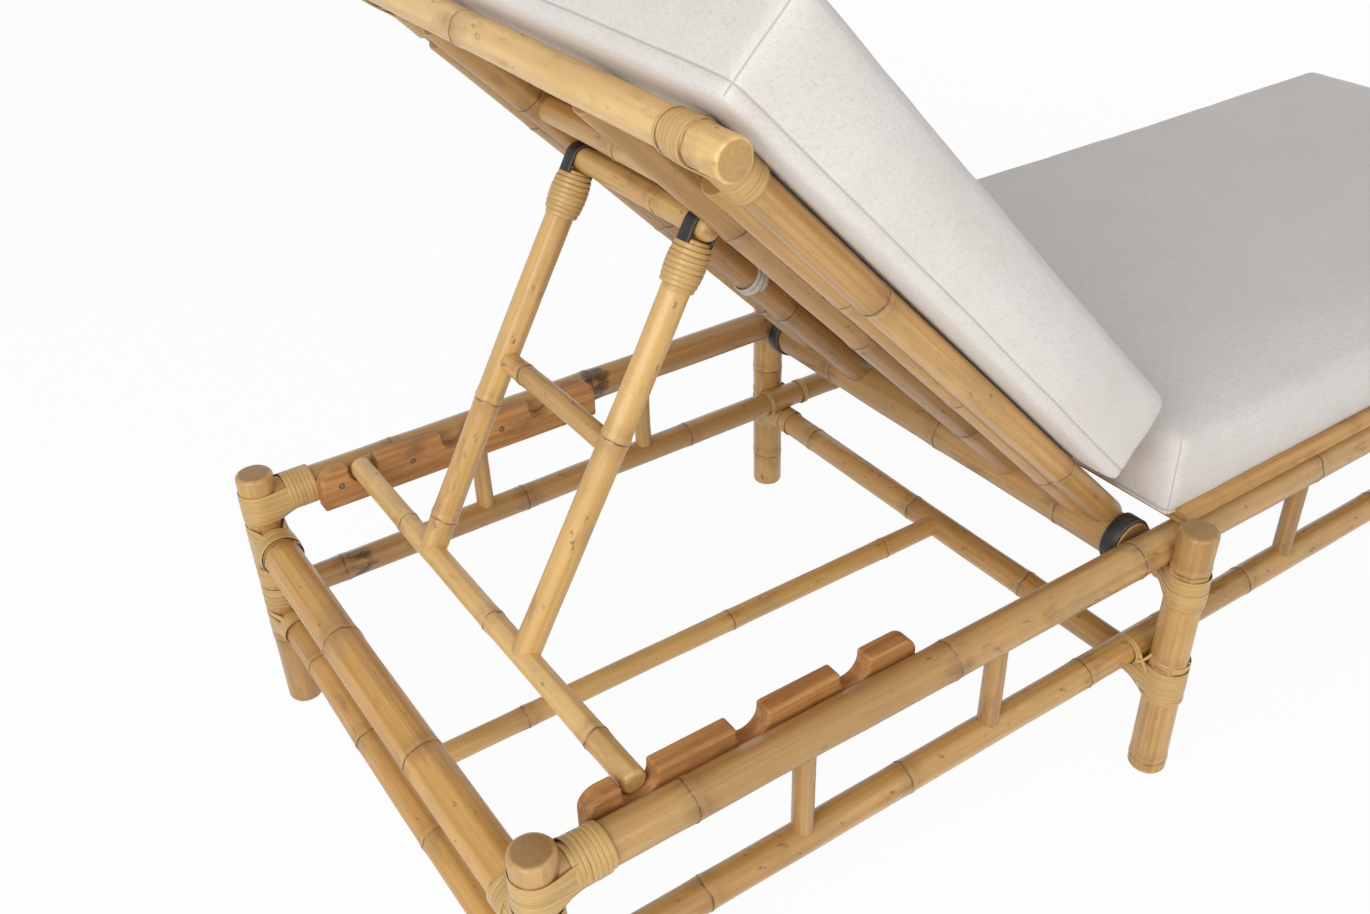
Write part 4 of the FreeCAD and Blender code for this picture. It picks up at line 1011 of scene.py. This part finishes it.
def cushion(name, node, place, body, spare, low_seam):
    """spare is how far the cover reaches past the CAD solid's sides, low_seam the lower seam's height."""
    low, high = corners_in(place, node)
    low = np.array(low) - (*spare, -0.5 * MM)
    high = np.array(high) + (*spare, -CROWN)
    nx, ny, nz = (max(4, round((high[k] - low[k]) / CELL)) for k in range(3))
    keys, faces = box_grid(nx, ny, nz)
    flat = low + np.array(keys) / (nx, ny, nz) * (high - low)
    edge = BOTTOM_EDGE + (TOP_EDGE - BOTTOM_EDGE) * (flat[:, 2:] - low[2]) / (high[2] - low[2])
    core = np.clip(flat, low + edge, high - edge)
    outward = flat - core
    points = core + outward / np.maximum(np.linalg.norm(outward, axis=1, keepdims=True), 1e-9) * edge
    spread_out = 1 - np.abs(2 * (points[:, :2] - low[:2]) / (high[:2] - low[:2]) - 1) ** 4
    crown = START_CROWN
    points[:, 2] += crown * spread_out.prod(axis=1) * (points[:, 2] - low[2]) / (high[2] - low[2])
    points = filled(f"{name}_cover", points, faces)
    points[:, 2] = np.maximum(points[:, 2], low[2])
    for k, point in enumerate(points):
        if point[2] > low[2] + TOP_EDGE:
            broad = BROAD_WAVE * noise.noise(Vector((point[0] * 9, point[1] * 9, low[0] * 7)))
            fine = FINE_WAVE * noise.noise(Vector((point[0] * 26, point[1] * 26, low[0] * 9)))
            points[k, 2] += broad + fine
    settled = {key: points[k] for k, key in enumerate(keys)}
    per_level = (high[2] - low[2]) / nz
    seams = {low_seam / per_level: 1.0, nz - TOP_SEAM / per_level: TOP_SEAM_SHOW}
    levels = {float(k) for k in range(nz + 1) if all(abs(k - seam) > 0.6 for seam in seams)}
    levels = sorted(levels | {seam + step for seam in seams for step in SEAM_STEPS})
    top = len(levels) - 1
    keys, faces = box_grid(nx, ny, top)
    final, sewn, corner_gaps = [], [], []
    for i, j, k in keys:
        under, share = int(levels[k]), levels[k] % 1
        if k in (0, top):
            under, share = (0, 0.0) if k == 0 else (nz, 0.0)
        above = settled[i, j, min(under + 1, nz)] if share else settled[i, j, under]
        point = settled[i, j, under] * (1 - share) + above * share
        inward = np.array(((i == 0) - (i == nx), (j == 0) - (j == ny), 0.0))
        depth = max(show * math.exp(-(((levels[k] - seam) / 0.2) ** 2)) for seam, show in seams.items())
        depth = depth if inward.any() else 0.0
        corner_gap = (min(i, nx - i) + min(j, ny - j)) * CELL
        crease = WRINKLE * (1 + 1.2 * math.exp(-corner_gap / WRINKLE_REACH)) * noise.noise(Vector(point) * 34)
        final.append(point + inward * (SEAM_DEPTH * depth + crease))
        sewn.append(depth)
        corner_gaps.append(corner_gap)
    mesh = smooth_mesh(name, [place @ Vector(point) for point in final], faces)
    set_attribute(mesh, "seam", "FLOAT", sewn)
    set_attribute(mesh, "corner_gap", "FLOAT", corner_gaps)
    pad = new_object(name, mesh, CLOTH)
    pad.modifiers.new("Subdivision", "SUBSURF").levels = 1
    pad.modifiers["Subdivision"].render_levels = 1
    settle(pad, body, "cushion_cloth", node)


cushion("seat_pad", "seat_cushion", LEVEL, "base", (1 * MM, 11 * MM), 6 * MM)
cushion("back_pad", "back_cushion", BACK, "backrest", (2 * MM, 2 * MM), 13 * MM)

# CAD nodes that keep their shape and get a finish and softened edges

KEPT = {
    "rack_left": (RACK, 2.6),
    "rack_right": (RACK, 2.6),
    "seat_slats": (LATH, 1.0),
    "back_slats": (LATH, 1.0),
    "cover_strip_left": (STRIP, 0.8),
    "cover_strip_right": (STRIP, 0.8),
}


def dress_kept():
    for node, (material, edge) in KEPT.items():
        piece = nodes[node]
        piece.data.materials.clear()
        piece.data.materials.append(material)
        weld = piece.modifiers.new("Weld", "WELD")
        weld.merge_threshold = 0.02 * MM
        flatten = piece.modifiers.new("Flatten", "DECIMATE")
        flatten.decimate_type = "DISSOLVE"
        flatten.angle_limit = math.radians(2)
        bevel = piece.modifiers.new("Bevel", "BEVEL")
        bevel.width = edge * MM
        bevel.segments = 2
        bevel.limit_method = "ANGLE"
        bevel.angle_limit = math.radians(40)


dress_kept()

# Floor and light

FLOOR_SIZE = 30.0
FLOOR_GLOW = 0.95
WORLD_LIGHT = 0.345
BACKDROP = 0.98


def seen_directly(tree):
    """1 for rays from the camera and for those that were mirrored or let through, else 0."""
    path = tree.nodes.new("ShaderNodeLightPath")
    seen = path.outputs["Is Camera Ray"]
    for kind in ("Is Glossy Ray", "Is Transmission Ray"):
        either = tree.nodes.new("ShaderNodeMath")
        either.operation = "MAXIMUM"
        tree.links.new(seen, either.inputs[0])
        tree.links.new(path.outputs[kind], either.inputs[1])
        seen = either.outputs[0]
    return seen


def make_floor():
    """White floor that keeps a light shadow."""
    bpy.ops.mesh.primitive_plane_add(size=FLOOR_SIZE)
    floor = bpy.context.object
    floor.name = "floor"
    shade = Shade("floor_white")
    paper = shade.noise(shade.place(), 30.0, 2.0)
    shade.finish(Base_Color=shade.blend(paper, srgb(250, 250, 250), srgb(247, 247, 247)), Roughness=0.9)
    seen = seen_directly(shade.tree)
    glow = shade.add("Emission", {"Color": (1, 1, 1, 1), "Strength": 1.0})
    glowing = shade.math("MULTIPLY", seen, FLOOR_GLOW)
    mixed = shade.add("MixShader", {0: glowing, 1: shade.surface.outputs[0], 2: glow})
    shade.tree.links.new(mixed, shade.tree.nodes["Material Output"].inputs["Surface"])
    floor.data.materials.append(shade.material)


def make_world():
    world = bpy.data.worlds.new("studio")
    world.use_nodes = True
    tree = world.node_tree
    background = tree.nodes["Background"]
    background.inputs["Color"].default_value = (1, 1, 1, 1)
    strength = tree.nodes.new("ShaderNodeMapRange")
    tree.links.new(seen_directly(tree), strength.inputs["Value"])
    strength.inputs["To Min"].default_value = WORLD_LIGHT
    strength.inputs["To Max"].default_value = BACKDROP
    tree.links.new(strength.outputs["Result"], background.inputs["Strength"])
    bpy.context.scene.world = world


def make_lamp(name, spot, aim, size, watts):
    lamp = bpy.data.objects.new(name, bpy.data.lights.new(name, "AREA"))
    bpy.context.scene.collection.objects.link(lamp)
    lamp.location = spot
    lamp.rotation_euler = (Vector(aim) - Vector(spot)).to_track_quat("-Z", "Y").to_euler()
    lamp.data.size = size
    lamp.data.energy = watts


make_floor()
make_world()
make_lamp("key", (-3.2, -1.5, 2.0), (-0.3, 0, 0.4), 2.0, 60)
make_lamp("side", (-0.9, -3.3, 1.9), (-0.1, 0, 0.4), 2.0, 32)
make_lamp("fill", (3.0, 1.9, 1.2), (0, 0, 0.4), 3.5, 26)

bpy.context.scene.view_settings.view_transform = "Standard"
